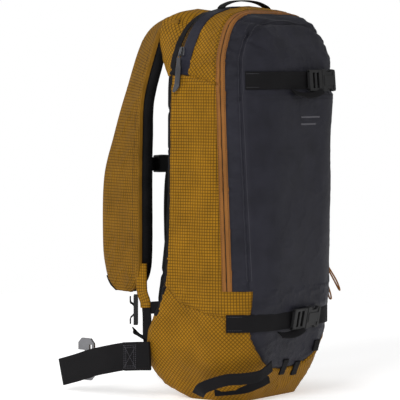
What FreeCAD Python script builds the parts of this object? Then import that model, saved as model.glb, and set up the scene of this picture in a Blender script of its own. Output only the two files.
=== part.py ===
import FreeCAD, Part
import math
import os

# Avalanche airbag backpack, standing on its base. Millimetres, +Z up.
# -Y is the outer face, +Y the harness side, -X the wearer's left.
# The origin is the centre of the base. The shapes are worked out with Y = 0 in the middle
# of the bag's sides, and moved so that Y = 0 is the middle of the base as they are written.

os.makedirs("parts", exist_ok=True)
V = FreeCAD.Vector
doc = FreeCAD.newDocument("airbag_backpack")

SIZES = {
    # bag shell
    "shell_wall": 3.0,
    "zip_start": 160.0,
    "zip_slit": 0.6,
    "zip_tape_width": 6.5,
    "zip_front_low": -30.0,
    "zip_front_high": -18.0,
    "bag_top": 555.0,
    # webbing
    "webbing_lift": 0.4,
    "webbing_thickness": 1.8,
    "webbing_width": 25.0,
    "belt_width": 40.0,
    "belt_thickness": 2.5,
    "belt_root_thickness": 5.6,
    "sternum_width": 20.0,
    # buckles
    "buckle_length": 33.0,
    "buckle_width": 32.0,
    "buckle_wall": 2.4,
    "buckle_height": 10.4,
    "buckle_play": 0.4,
    "tongue_length": 21.0,
    # back
    "pad_half_width": 106.0,
    "frame_half_width": 90.0,
    "frame_thickness": 2.0,
    "stay_half_width": 12.0,
    "stay_thickness": 3.0,
    # gas system
    "cartridge_radius": 27.0,
    "cartridge_length": 170.0,
    "neck_radius": 11.0,
    "neck_length": 22.0,
    "valve_wide": 36.0,
    "valve_deep": 34.0,
    "valve_tall": 32.0,
    "pin_radius": 4.0,
    "pin_play": 0.05,
    "pin_length": 42.0,
    "pin_stroke": 5.0,
    "collar_radius": 7.0,
    "collar_thickness": 4.0,
    "spring_inside": 4.6,
    "spring_outside": 6.6,
    "lever_pin_radius": 2.0,
    "lever_pin_length": 22.0,
    "gauge_radius": 9.0,
    "gauge_length": 10.0,
    "venturi_wide": 46.0,
    "venturi_deep": 40.0,
    "venturi_tall": 44.0,
    "venturi_wall": 5.0,
    "flap_thickness": 1.5,
    "bladder_wide": 138.0,
    "bladder_deep": 44.0,
    "bladder_tall": 88.0,
    "bladder_round": 12.0,
    "cable_radius": 2.5,
    "cable_play": 0.4,
    # trigger
    "handle_wide": 20.0,
    "handle_thick": 9.0,
    "handle_long": 75.0,
    "trigger_room_wide": 26.0,
    "trigger_room_thick": 12.0,
    "trigger_room_long": 125.0,
    # metal and plastic hardware
    "hook_wide": 32.0,
    "hook_tall": 61.0,
    "hook_thick": 3.0,
    "hook_chamfer": 7.0,
    "hook_slot_wide": 5.0,
    "hook_slot_tall": 43.0,
    "ring_wide": 24.0,
    "ring_tall": 52.0,
    "ring_thick": 4.0,
    "ring_bar": 5.0,
    "lock_wide": 28.0,
    "lock_tall": 42.0,
    "lock_thick": 6.0,
    "lock_bar": 5.0,
    "slider_wide": 10.0,
    "slider_tall": 14.0,
    "slider_thick": 4.6,
    "pull_wide": 8.0,
    "pull_tall": 42.0,
    "pull_thick": 2.2,
    "pull_cord_radius": 1.2,
    "sternum_slider_wide": 8.0,
    "sternum_slider_deep": 18.0,
    "sternum_slider_tall": 22.0,
}

sheet = doc.addObject("Spreadsheet::Sheet", "sizes")
for row, (alias, number) in enumerate(SIZES.items(), start=1):
    sheet.set(f"A{row}", alias)
    sheet.set(f"B{row}", str(number))
    sheet.setAlias(f"B{row}", alias)
doc.recompute()
parts = []


def size(alias):
    """One size of the sheet, in millimetres."""
    return float(sheet.get(alias))


# ---------------------------------------------------------------- helpers


def bind(thing, **links):
    """Bind properties of a document object to cells of the sheet."""
    for name, formula in links.items():
        thing.setExpression(name, formula)
    return thing


def keep(thing, label):
    """Name a finished sub-part, so that it is written out."""
    thing.Label = label
    parts.append(thing)
    return thing


def keep_shape(label, shape):
    """A sub-part whose form is worked out by Part's own functions."""
    thing = doc.addObject("Part::Feature", label)
    thing.Shape = shape
    thing.Placement = FreeCAD.Placement()
    return keep(thing, label)


def placed(x, y, z, turn=0.0, axis=V(0, 0, 1)):
    return FreeCAD.Placement(V(x, y, z), FreeCAD.Rotation(axis, turn))


def block(name, place, **links):
    """A Part::Box bound to the sheet."""
    thing = doc.addObject("Part::Box", name)
    thing.Placement = place
    return bind(thing, **links)


def rod(name, place, **links):
    """A Part::Cylinder bound to the sheet."""
    thing = doc.addObject("Part::Cylinder", name)
    thing.Placement = place
    return bind(thing, **links)


def minus(name, base, tool):
    thing = doc.addObject("Part::Cut", name)
    thing.Base, thing.Tool = base, tool
    return thing


def plus(name, *pieces):
    thing = doc.addObject("Part::MultiFuse", name)
    thing.Shapes = list(pieces)
    return thing


def solid_box(x1, x2, y1, y2, z1, z2):
    return Part.makeBox(x2 - x1, y2 - y1, z2 - z1, V(x1, y1, z1))


def prism(points, x1, x2):
    """A polygon of (y, z) points, extruded along X."""
    ring = [V(x1, y, z) for y, z in points]
    face = Part.Face(Part.makePolygon(ring + ring[:1]))
    return face.extrude(V(x2 - x1, 0, 0))


def ribbon(stations, thickness):
    """A flat strip through (centre, half width vector) stations, made of flat facets."""
    centres = [centre for centre, _ in stations]
    ways = [(b - a).normalize() for a, b in zip(centres, centres[1:])]
    ways = [ways[0]] + [(a + b).normalize() for a, b in zip(ways, ways[1:])] + [ways[-1]]
    rings = []
    for (centre, wide), way in zip(stations, ways):
        thick = way.cross(wide).normalize() * (thickness / 2)
        rings.append([centre + wide + thick, centre - wide + thick, centre - wide - thick, centre + wide - thick])
    outlines = [rings[0], rings[-1]]
    for here, following in zip(rings, rings[1:]):
        for corner in range(4):
            beside = (corner + 1) % 4
            outlines.append([here[corner], here[beside], following[beside]])
            outlines.append([here[corner], following[beside], following[corner]])
    shell = Part.makeShell([Part.Face(Part.makePolygon(points + points[:1])) for points in outlines])
    shell.sewShape()
    return Part.makeSolid(shell)


def mirrored(shape):
    return shape.mirror(V(0, 0, 0), V(1, 0, 0))


def tube(points, radius, label):
    """A round tube along straight runs joined by tangent arcs."""
    nodes = [V(*p) for p in points]
    edges, radii, start = [], [], nodes[0]
    for before, here, after in zip(nodes, nodes[1:], nodes[2:]):
        back, on = (before - here), (after - here)
        shorter = min(back.Length, on.Length)
        turn = math.pi - back.getAngle(on)
        bend = 0.45 * shorter / math.tan(turn / 2)
        radii.append(bend)
        back.normalize()
        on.normalize()
        first, last = here + back * (0.45 * shorter), here + on * (0.45 * shorter)
        middle = (back + on).normalize() * (bend / math.cos(turn / 2) - bend)
        edges.append(Part.LineSegment(start, first).toShape())
        edges.append(Part.Arc(first, here + middle, last).toShape())
        start = last
    edges.append(Part.LineSegment(start, nodes[-1]).toShape())
    path = Part.Wire(edges)
    ring = Part.Wire(Part.makeCircle(radius, nodes[0], nodes[1] - nodes[0]))
    solid = path.makePipeShell([ring], True, False)
    share = solid.Volume / (math.pi * radius**2 * path.Length)
    print(label, "radii", [round(r, 1) for r in radii], "length", round(path.Length, 1), "volume share", round(share, 3))
    return solid


# ---------------------------------------------------------------- bag shell

# Height, half width, back Y, front Y, back corner radius, front corner radius.
STATIONS = [
    (0, 84, 72, -24, 22, 32),
    (20, 98, 104, -36, 22, 44),
    (60, 119, 119, -54, 20, 62),
    (96, 127, 110, -64, 18, 68),
    (160, 130, 79, -74, 12, 78),
    (250, 130, 71, -76, 10, 80),
    (420, 130, 68, -78, 10, 80),
    (480, 127, 66, -74, 12, 72),
    (505, 119, 65, -64, 14, 62),
    (530, 105, 61, -48, 18, 46),
    (546, 84, 55, -30, 20, 32),
    (size("bag_top"), 50, 42, -10, 18, 20),
]
BASE_MIDDLE = (STATIONS[0][2] + STATIONS[0][3]) / 2


def station(height):
    """The bag's outline sizes at any height, straight between the stations."""
    for low, high in zip(STATIONS, STATIONS[1:]):
        if low[0] <= height <= high[0]:
            share = (height - low[0]) / (high[0] - low[0])
            return tuple(a + share * (b - a) for a, b in zip(low, high))
    raise ValueError(height)


def back_at(height):
    return station(height)[2]


def front_at(height):
    return station(height)[3]


def side_at(height, y):
    """The bag's half width at a height and a Y on its side or front corner."""
    _, half, _, front, _, front_round = station(height)
    inward = max(0.0, front + front_round - y)
    return half - front_round + math.sqrt(front_round**2 - inward**2)


def outline(height, lift):
    """The bag's rounded outline at a height, moved outwards by lift."""
    _, half, back, front, back_round, front_round = station(height)
    corners = [
        (half - back_round, back - back_round, back_round + lift, 0),
        (back_round - half, back - back_round, back_round + lift, 90),
        (front_round - half, front + front_round, front_round + lift, 180),
        (half - front_round, front + front_round, front_round + lift, 270),
    ]

    def spot(corner, turn):
        x, y, radius, start = corner
        angle = math.radians(start + turn)
        return V(x + radius * math.cos(angle), y + radius * math.sin(angle), height)

    edges = []
    for here, following in zip(corners, corners[1:] + corners[:1]):
        edges.append(Part.Arc(spot(here, 0), spot(here, 45), spot(here, 90)).toShape())
        edges.append(Part.LineSegment(spot(here, 90), spot(following, 0)).toShape())
    return Part.Wire(edges)


def bag_form(bottom, top, lift):
    """The solid inside the bag's surface between two heights, moved outwards by lift."""
    heights = [bottom] + [s[0] for s in STATIONS if bottom < s[0] < top] + [top]
    return Part.makeLoft([outline(h, lift) for h in heights], True, True)


def band(bottom, top, low, high):
    """A sleeve round the bag between two heights, from low to high above its surface."""
    return bag_form(bottom, top, high).cut(bag_form(bottom, top, low))


WALL = size("shell_wall")
TOP = size("bag_top")
SPLIT = size("zip_start")
FAR = 400.0
slit = size("zip_slit") / 2
tape = size("zip_tape_width")


def zip_y(height):
    """The front zip's Y at a height: it leans back a little towards the top."""
    low, high = size("zip_front_low"), size("zip_front_high")
    return low + (height - SPLIT) * (high - low) / (TOP - SPLIT)


def zip_slice(near, far):
    """The slice between two distances behind the zip line, above the zip's lower end."""
    low, high = SPLIT + slit, TOP + 10
    points = [(zip_y(low) + near, low), (zip_y(high) + near, high), (zip_y(high) + far, high), (zip_y(low) + far, low)]
    return prism(points, -FAR, FAR)


shell = bag_form(0, TOP, 0).cut(bag_form(WALL, TOP - WALL, -WALL))
outer_tape = shell.common(zip_slice(slit, tape))
inner_tape = shell.common(zip_slice(-tape, -slit))
front = shell.common(zip_slice(-FAR, -tape))
# The lower grey panel's outline, seen from the front: half of it, from the bottom up.
LOWER_EDGE = [(0, 43), (32, 45), (50, 50), (65, 58), (75, 68), (95, 94), (99, 132), (99, SPLIT - slit)]
lower_ring = [V(x, -30, z) for x, z in LOWER_EDGE] + [V(-x, -30, z) for x, z in reversed(LOWER_EDGE[1:])]
lower_region = Part.Face(Part.makePolygon(lower_ring + lower_ring[:1])).extrude(V(0, -FAR, 0))
lower_front = shell.common(lower_region)
tub = shell.cut(zip_slice(-FAR, tape)).cut(lower_region)
SLIT_BACK = -50.0
tub = tub.cut(solid_box(-FAR, FAR, -FAR, SLIT_BACK, SPLIT - slit, SPLIT + slit))

# The trigger cable: along its run in the bag, out through the back wall and down the left strap.
CABLE = [
    (108, 25, 363),
    (108, 38, 386),
    (97, 54, 406),
    (35, 54, 432),
    (-25, 54, 462),
    (-64, 50, 500),
    (-74, 58, 524),
    (-76, 96, 529),
    (-85, 122, 500),
    (-92, 144, 440),
    (-94, 156, 372),
    (-92.5, 168, 306),
]
cable = tube(CABLE, size("cable_radius"), "trigger_cable")
cable_room = tube(CABLE, size("cable_radius") + size("cable_play"), "cable room")

keep_shape("main_bag", tub.cut(cable_room))
keep_shape("lower_front_panel", lower_front)
keep_shape("front_panel", front)
keep_shape("front_zip_outer_tape", outer_tape)
keep_shape("front_zip_inner_tape", inner_tape)
keep_shape("trigger_cable", cable)

# The top zip's tape lies on the left side, close to the back, and runs up over the shoulder.
TOP_ZIP = [(34, 469), (60, 469), (56, 500), (48, 530), (42, 553), (22, 553), (26, 520), (30, 495)]
top_tape = band(466, 553.5, 0, 1.2).common(prism(TOP_ZIP, -FAR, -40))
keep_shape("top_zip_tape", top_tape)

# ---------------------------------------------------------------- back pad and frame

PAD_OUTSIDE = [(104, 127), (110, 144), (106, 176), (97, 250), (93, 320), (93, 436), (85, 490), (74, 509)]
pad_inside = [(back_at(z), z) for z in (511, 505, 480, 420, 250, 160, 126)]
half = size("pad_half_width")
keep_shape("back_panel_pad", prism(pad_inside + PAD_OUTSIDE, -half, half))

FRAME_HEIGHTS = [500, 480, 420, 250, 160, 98]


def back_leaf(near, far, half_width):
    """A leaf that follows the inside of the back wall, between two distances from it."""
    outer_side = [(back_at(z) - WALL - near, z) for z in FRAME_HEIGHTS]
    inner_side = [(back_at(z) - WALL - far, z) for z in reversed(FRAME_HEIGHTS)]
    return prism(outer_side + inner_side, -half_width, half_width)


GAP = 0.3
sheet_back = GAP + size("frame_thickness")
stay_back = sheet_back + GAP + size("stay_thickness")
keep_shape("frame_sheet", back_leaf(GAP, sheet_back, size("frame_half_width")).cut(cable_room))
keep_shape("frame_stay", back_leaf(sheet_back + GAP, stay_back, size("stay_half_width")))

# ---------------------------------------------------------------- compression straps

STRAP_LOW = size("webbing_lift")
STRAP_HIGH = STRAP_LOW + size("webbing_thickness")
UPPER_STRAP, LOWER_STRAP = 454.0, 115.0
UPPER_BUCKLE, LOWER_BUCKLE = 39.0, 12.0


def front_slab(x1, x2, z1, z2, low, high):
    """A slab on the flat middle of the front face, from low to high above it."""
    points = [(front_at(z1) - low, z1), (front_at(z2) - low, z2), (front_at(z2) - high, z2), (front_at(z1) - high, z1)]
    return prism(points, x1, x2)


def strap_band(middle):
    reach = size("webbing_width") / 2
    return band(middle - reach, middle + reach, STRAP_LOW, STRAP_HIGH)


def buckle_pair(middle, left):
    """A side-release buckle's body and prong on the front face; left is where the body's mouth is."""
    wide = size("buckle_width") / 2
    wall = size("buckle_wall")
    play = size("buckle_play")
    high = size("buckle_height")
    right = left + size("buckle_length")
    body = front_slab(left, right, middle - wide, middle + wide, GAP * 2, high)
    room = front_slab(left - 1, right - 5, middle - wide + 3.6, middle + wide - 3.6, STRAP_HIGH + 0.4, high - wall)
    grip = solid_box(left + 9, left + 22, -FAR, 0, middle + wide - 3.0, middle + wide + 5)
    body = body.cut(room).cut(grip).cut(grip.translated(V(0, 0, -2 * wide - 2.0)))
    tongue = front_slab(
        left, left + size("tongue_length"), middle - wide + 3.6 + play, middle + wide - 3.6 - play,
        STRAP_HIGH + 0.4 + play, high - wall - play,
    )
    ladder = front_slab(
        left - size("buckle_length"), left - play, middle - wide + 1, middle + wide - 1, STRAP_HIGH + play, high - 1.4
    )
    neck = front_slab(left - 1, left + 1, middle - 8, middle + 8, STRAP_HIGH + 0.4 + play, high - wall - play)
    prong = ladder.fuse(tongue).fuse(neck)
    for step in (8.0, 19.0):
        window = solid_box(
            left - size("buckle_length") + step, left - size("buckle_length") + step + 6, -FAR, 0,
            middle - wide + 4.5, middle + wide - 4.5,
        )
        prong = prong.cut(window)
    return body, prong.removeSplitter()


for name, middle, mouth, side_left, side_right in (
    ("upper", UPPER_STRAP, UPPER_BUCKLE, -52.0, -36.0),
    ("lower", LOWER_STRAP, LOWER_BUCKLE, -28.0, -34.0),
):
    round_bag = strap_band(middle)
    body, prong = buckle_pair(middle, mouth)
    left_end = mouth - size("buckle_length") + 16
    right_start = mouth + size("buckle_length") + GAP
    left = round_bag.common(solid_box(-FAR, left_end, -FAR, side_left, 0, FAR * 2))
    left = left.fuse(round_bag.common(solid_box(-FAR, -100, side_left, side_left + 0.5, 0, FAR * 2)))
    right = round_bag.common(solid_box(right_start, FAR, -FAR, side_right, 0, FAR * 2))
    keep_shape(f"{name}_strap_left", left.removeSplitter())
    keep_shape(f"{name}_strap_right", right)
    keep_shape(f"{name}_buckle_body", body)
    keep_shape(f"{name}_buckle_prong", prong)

# ---------------------------------------------------------------- shoulder straps

# Outer edge on the arm side, outer edge on the chest side, direction into the strap,
# thickness of the outer (pocket) layer, thickness of the inner (padded) layer.
STRAP = [
    (V(-106, 63, 541), V(-42, 63, 546), V(0, 0, -1), 8, 12),
    (V(-108, 92, 531), V(-48, 112, 548), V(0.15, -0.30, -0.94), 8, 13),
    (V(-112, 103, 503), V(-66, 152, 519), V(0.62, -0.55, -0.55), 9, 14),
    (V(-118, 121, 432), V(-80, 178, 436), V(0.88, -0.42, -0.20), 11, 14),
    (V(-119, 124, 370), V(-85, 198, 372), V(0.93, -0.36, 0), 16, 11),
    (V(-118, 126, 310), V(-84, 217, 310), V(0.94, -0.34, 0), 18, 10),
    (V(-118, 126, 219), V(-84, 219, 219), V(0.94, -0.34, 0), 18, 10),
    (V(-117, 128, 181), V(-85, 213, 181), V(0.94, -0.34, 0), 17, 9),
    (V(-112, 138, 160), V(-90, 200, 160), V(0.94, -0.34, 0), 14, 7),
    (V(-108, 150, 150), V(-96, 182, 150), V(0.94, -0.34, 0), 9, 4),
]


def strap_layer(outer):
    """One of the strap's two layers as a ruled solid."""
    rings = []
    for arm, chest, inward, thick_out, thick_in in STRAP:
        inward = V(inward).normalize()
        near, far = (0, thick_out) if outer else (thick_out + 0.02, thick_out + thick_in)
        ring = [arm + inward * near, chest + inward * near, chest + inward * far, arm + inward * far]
        rings.append(Part.makePolygon(ring + ring[:1]))
    return Part.makeLoft(rings, True, True)


pocket = strap_layer(True)
padding = strap_layer(False)
anchor = ribbon([(V(-110, 124, 192), V(0, 10, 0)), (V(-111, 126, 170), V(0, 10, 0)), (V(-110, 134, 149), V(0, 9, 0))], 6.0)
pocket = pocket.fuse(anchor).removeSplitter()
keep_shape("shoulder_strap_right", mirrored(padding))
keep_shape("strap_pocket_right", mirrored(pocket))

# The chest part of the strap is a flat slab turned about Z: this is its middle and its turn.
SLAB_MIDDLE = V(-92.5, 169.5, 0)
SLAB_TURN = math.degrees(math.atan2(0.94, 0.34))


def in_slab(wide, thick, bottom):
    """The corner placement of a box that is centred in the slab, wide along it and thick across it."""
    turn = FreeCAD.Rotation(V(0, 0, 1), SLAB_TURN)
    corner = SLAB_MIDDLE + turn.multVec(V(-wide / 2, -thick / 2, 0)) + V(0, 0, bottom)
    return FreeCAD.Placement(corner, turn)


ROOM_BOTTOM, HANDLE_BOTTOM = 176.0, 224.0
room = Part.makeBox(size("trigger_room_wide"), size("trigger_room_thick"), size("trigger_room_long"))
room.Placement = in_slab(size("trigger_room_wide"), size("trigger_room_thick"), ROOM_BOTTOM)
keep_shape("shoulder_strap_left", padding.cut(cable_room))
keep_shape("strap_pocket_left", pocket.cut(room).cut(cable_room))

handle = block(
    "handle_bar",
    in_slab(size("handle_wide"), size("handle_thick"), HANDLE_BOTTOM),
    Length="sizes.handle_wide",
    Width="sizes.handle_thick",
    Height="sizes.handle_long",
)
rounded = doc.addObject("Part::Fillet", "handle_rounded")
doc.recompute()
rounded.Base = handle
rounded.Edges = [(number, 3.0, 3.0) for number in range(1, 13)]
keep(rounded, "trigger_handle")

# ---------------------------------------------------------------- webbing tails and ladder locks

LOCK_TURN = 35.0
LOCK_MIDDLE = V(-104, 145, 124)


def flat_body(name, draw, thickness, windows):
    """A PartDesign plate: a closed outline on the XY plane, padded, with windows cut through it."""
    body = doc.addObject("PartDesign::Body", name)
    plane = next(o for o in body.Origin.OriginFeatures if o.Role == "XY_Plane")
    sketch = body.newObject("Sketcher::SketchObject", name + "_outline")
    sketch.AttachmentSupport = [(plane, "")]
    sketch.MapMode = "FlatFace"
    draw(sketch)
    pad = body.newObject("PartDesign::Pad", name + "_plate")
    pad.Profile = sketch
    bind(pad, Length=thickness)
    doc.recompute()
    volume = pad.Shape.Volume
    for number, draw_window in enumerate(windows):
        hole = body.newObject("Sketcher::SketchObject", f"{name}_window_{number}")
        hole.AttachmentSupport = [(plane, "")]
        hole.MapMode = "FlatFace"
        draw_window(hole)
        pocket_cut = body.newObject("PartDesign::Pocket", f"{name}_cut_{number}")
        pocket_cut.Profile = hole
        pocket_cut.Type = 1
        pocket_cut.Reversed = True
        doc.recompute()
        if pocket_cut.Shape.Volume >= volume - 1:
            raise RuntimeError(f"{name}: window {number} cuts nothing")
        volume = pocket_cut.Shape.Volume
    return body


def rectangle(wide, tall, middle=0.0):
    """A drawing function for a rectangle bound to two cells, centred at (0, middle)."""

    def draw(sketch):
        reach, rise = size(wide) / 2, size(tall) / 2
        spots = [V(-reach, middle - rise, 0), V(reach, middle - rise, 0)]
        spots += [V(reach, middle + rise, 0), V(-reach, middle + rise, 0)]
        draw_loop(sketch, spots)
        import_rules(sketch, wide, tall)

    return draw


def import_rules(sketch, wide, tall):
    """Hold a four-sided loop upright, and bind its two sizes to the sheet."""
    import Sketcher

    sketch.addConstraint(Sketcher.Constraint("Horizontal", 0))
    sketch.addConstraint(Sketcher.Constraint("Horizontal", 2))
    sketch.addConstraint(Sketcher.Constraint("Vertical", 1))
    sketch.addConstraint(Sketcher.Constraint("Vertical", 3))
    across = sketch.addConstraint(Sketcher.Constraint("DistanceX", 0, 1, 0, 2, size(wide)))
    sketch.setExpression(f"Constraints[{across}]", f"sizes.{wide}")
    along = sketch.addConstraint(Sketcher.Constraint("DistanceY", 1, 1, 1, 2, size(tall)))
    sketch.setExpression(f"Constraints[{along}]", f"sizes.{tall}")


def draw_loop(sketch, spots):
    """Add a closed loop of lines whose ends are joined."""
    import Sketcher

    for number, spot in enumerate(spots):
        sketch.addGeometry(Part.LineSegment(spot, spots[(number + 1) % len(spots)]), False)
    for number in range(len(spots)):
        sketch.addConstraint(Sketcher.Constraint("Coincident", number, 2, (number + 1) % len(spots), 1))


def upright(middle, heading, rise=0.0):
    """Turn a plate drawn in XY so that its X runs level along heading, and its Y runs up."""
    stand = FreeCAD.Rotation(V(1, 0, 0), 90)
    turn = FreeCAD.Rotation(V(0, 0, 1), heading)
    return FreeCAD.Placement(middle + V(0, 0, rise), turn.multiply(stand))


def loop_window(reach, rise, middle):
    """A drawing function for a plain rectangular window."""

    def draw(sketch):
        spots = [V(-reach, middle - rise, 0), V(reach, middle - rise, 0)]
        spots += [V(reach, middle + rise, 0), V(-reach, middle + rise, 0)]
        draw_loop(sketch, spots)

    return draw


for side, sign in (("left", 1), ("right", -1)):
    bar = size("lock_bar")
    reach = size("lock_wide") / 2 - bar
    rise = (size("lock_tall") - 3 * bar) / 4
    lock = flat_body(
        f"lock_{side}",
        rectangle("lock_wide", "lock_tall"),
        "sizes.lock_thick",
        [loop_window(reach, rise, offset) for offset in (-rise - bar / 2, rise + bar / 2)],
    )
    heading = LOCK_TURN if sign == 1 else 180 - LOCK_TURN
    middle = V(sign * LOCK_MIDDLE.x, LOCK_MIDDLE.y, LOCK_MIDDLE.z)
    lock.Placement = upright(middle, heading)
    keep(lock, f"ladder_lock_{side}")

across = V(math.cos(math.radians(LOCK_TURN)), math.sin(math.radians(LOCK_TURN)), 0)
tail = ribbon(
    [
        (V(-104, 144.5, 99), across * 10),
        (V(-105, 139, 92), V(9.6, 4, 0)),
        (V(-110, 126, 86), V(9, 1, -2)),
        (V(-114, 115, 82), V(8, 0, -3)),
    ],
    size("webbing_thickness"),
)
keep_shape("strap_tail_left", tail)
keep_shape("strap_tail_right", mirrored(tail))

# ---------------------------------------------------------------- hip belt

rise = V(0, 0, size("belt_width") / 2)
web = size("belt_thickness") / 2
root = ribbon(
    [(V(-127.4, 98, 62), rise * 1.04), (V(-130.5, 118, 61), rise * 1.04), (V(-133, 141, 59), rise * 1.02)],
    size("belt_root_thickness"),
)
BELT_NEAR, BELT_FAR = V(-134, 166, 54.5), V(-121, 265, 27)
run = BELT_FAR - BELT_NEAR
level = V(run.x, run.y, 0).normalize()
inwards = V(level.y, -level.x, 0)
belt = ribbon([(V(-133.4, 143.2, 58.6), rise), (BELT_NEAR, rise), (BELT_FAR, rise)], size("belt_thickness"))
keep_shape("belt_root_left", root)
keep_shape("belt_root_right", mirrored(root))
keep_shape("belt_left", belt)
keep_shape("belt_right", mirrored(belt))

HOOK_SHARE, HOOK_RISE = 0.5, 9.0
RING_SHARE, RING_RISE = 0.8, 3.0


def hook_outline(sketch):
    """The hook plate: a tall plate with cut corners and a nose that leaves an open notch."""
    wide, tall, cut = size("hook_wide") / 2, size("hook_tall") / 2, size("hook_chamfer")
    notch_low, notch_high, notch_deep = 6.0, 13.0, 13.0
    draw_loop(
        sketch,
        [
            V(-wide, -tall + cut, 0),
            V(-wide + cut, -tall, 0),
            V(wide - cut, -tall, 0),
            V(wide, -tall + cut, 0),
            V(wide, notch_low, 0),
            V(wide - notch_deep, notch_low, 0),
            V(wide - notch_deep, notch_high, 0),
            V(wide, notch_high, 0),
            V(wide, tall - cut, 0),
            V(wide - cut, tall, 0),
            V(-wide + cut, tall, 0),
            V(-wide, tall - cut, 0),
        ],
    )


def slot_in_hook(sketch):
    """The tall slot that the belt's webbing is threaded through."""
    middle = -size("hook_wide") / 2 + 7.0
    reach, climb = size("hook_slot_wide") / 2, size("hook_slot_tall") / 2
    draw_loop(
        sketch,
        [
            V(middle - reach, -climb, 0),
            V(middle + reach, -climb, 0),
            V(middle + reach, climb, 0),
            V(middle - reach, climb, 0),
        ],
    )


hook = flat_body("hook", hook_outline, "sizes.hook_thick", [slot_in_hook])
heading = math.degrees(math.atan2(level.y, level.x))
hook_middle = BELT_NEAR + run * HOOK_SHARE + inwards * (web + GAP * 2)
hook.Placement = upright(hook_middle, heading, HOOK_RISE)
keep(hook, "belt_hook")

ring_window = loop_window(size("ring_wide") / 2 - size("ring_bar"), size("ring_tall") / 2 - size("ring_bar"), 0)
ring = flat_body("ring", rectangle("ring_wide", "ring_tall"), "sizes.ring_thick", [ring_window])
ring_middle = BELT_NEAR + run * RING_SHARE + inwards * (web + GAP * 2 + size("ring_thick"))
ring.Placement = upright(V(-ring_middle.x, ring_middle.y, ring_middle.z), 180 - heading, RING_RISE)
keep(ring, "belt_ring")

# ---------------------------------------------------------------- sternum strap

STERNUM_Y, STERNUM_Z = 170.0, 331.0
reach = size("sternum_width") / 2
inner_end = 56.5
for side, sign in (("left", -1), ("right", 1)):
    x = sign * inner_end if sign > 0 else -inner_end - size("sternum_slider_wide")
    clip = block(
        f"clip_{side}",
        placed(x, STERNUM_Y - size("sternum_slider_deep") / 2, STERNUM_Z - size("sternum_slider_tall") / 2),
        Length="sizes.sternum_slider_wide",
        Width="sizes.sternum_slider_deep",
        Height="sizes.sternum_slider_tall",
    )
    keep(clip, f"sternum_slider_{side}")

flat = size("webbing_thickness") / 2
low, high = STERNUM_Z - reach, STERNUM_Z + reach
MOUTH = 12.0
keep_shape("sternum_strap_left", solid_box(-inner_end, -14, STERNUM_Y - flat, STERNUM_Y + flat, low, high))
keep_shape("sternum_strap_right", solid_box(37, inner_end, STERNUM_Y - flat, STERNUM_Y + flat, low, high))
case = solid_box(-14, MOUTH, STERNUM_Y - 6, STERNUM_Y + 6, low - 3, high + 3)
case = case.cut(solid_box(-9, MOUTH + 1, STERNUM_Y - 4, STERNUM_Y + 4, low, high))
keep_shape("sternum_buckle_body", case)
tongue = solid_box(-6, MOUTH + 3, STERNUM_Y - 3.5, STERNUM_Y + 3.5, low + 0.6, high - 0.6)
tab = solid_box(MOUTH + 0.5, 34, STERNUM_Y + flat + 0.5, STERNUM_Y + 5.6, low - 2, high + 2)
tab = tab.cut(solid_box(20, 28, STERNUM_Y - 9, STERNUM_Y + 9, low + 1.5, high - 1.5))
keep_shape("sternum_buckle_prong", tongue.fuse(tab).removeSplitter())

# ---------------------------------------------------------------- zip sliders and pulls

UPPER_SLIDER, LOWER_SLIDER = 190.0, 166.0
for name, height in (("upper", UPPER_SLIDER), ("lower", LOWER_SLIDER)):
    slider = block(
        f"runner_{name}",
        placed(
            side_at(height, zip_y(height) + size("slider_wide") / 2) + 1.2,
            zip_y(height) - size("slider_wide") / 2,
            height - size("slider_tall") / 2,
        ),
        Length="sizes.slider_thick",
        Width="sizes.slider_wide",
        Height="sizes.slider_tall",
    )
    doc.recompute()
    softened = doc.addObject("Part::Chamfer", f"runner_{name}_cut")
    softened.Base = slider
    softened.Edges = [(number, 1.2, 1.2) for number in (5, 6, 7, 8)]
    keep(softened, f"front_slider_{name}")

CORD = size("pull_cord_radius")
# Each pull is a cord doubled back on itself: down, round the fold and up beside itself.
PULL_UPPER = [(135, -27, 187), (143, -31, 173), (151, -36, 157), (157, -39.5, 144.5), (154, -45, 141.5),
              (149, -42.5, 156), (141, -36.5, 172), (135, -31.5, 184)]
PULL_LOWER = [(135, -26, 163), (138.5, -28.5, 151), (140, -32, 139), (140, -34.5, 131), (138, -39.5, 130.5),
              (137.5, -38, 139), (136.5, -34.5, 150), (134.5, -30.5, 160)]
for name, points in (("upper", PULL_UPPER), ("lower", PULL_LOWER)):
    keep_shape(f"front_pull_cord_{name}", tube(points, CORD, f"front_pull_cord_{name}"))

side_slope = math.degrees(math.atan2(8, 25))
top_middle = V(-station(494)[1], 45, 494)
out = V(-math.cos(math.radians(side_slope)), 0, math.sin(math.radians(side_slope)))
up = V(math.sin(math.radians(side_slope)), 0, math.cos(math.radians(side_slope)))
TAPE_LIFT = 1.7
corner = top_middle + out * TAPE_LIFT - up * (size("slider_tall") / 2)
corner = corner + V(0, size("slider_wide") / 2, 0)
runner = block(
    "top_runner",
    FreeCAD.Placement(corner, FreeCAD.Rotation(V(0, 1, 0), side_slope).multiply(FreeCAD.Rotation(V(0, 0, 1), 180))),
    Length="sizes.slider_thick",
    Width="sizes.slider_wide",
    Height="sizes.slider_tall",
)
keep(runner, "top_slider")

tab_low = 486.0 - size("pull_tall")
pull = block(
    "top_pull_bar",
    placed(-133.6, 45 - size("pull_wide") / 2, tab_low),
    Length="sizes.pull_thick",
    Width="sizes.pull_wide",
    Height="sizes.pull_tall",
)
eye = rod("top_pull_eye", placed(-138, 45, 482.5, 90, V(0, 1, 0)), Radius="1.6", Height="10")
keep(minus("top_pull_cut", pull, eye), "top_pull")

# ---------------------------------------------------------------- loops and tabs


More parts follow.
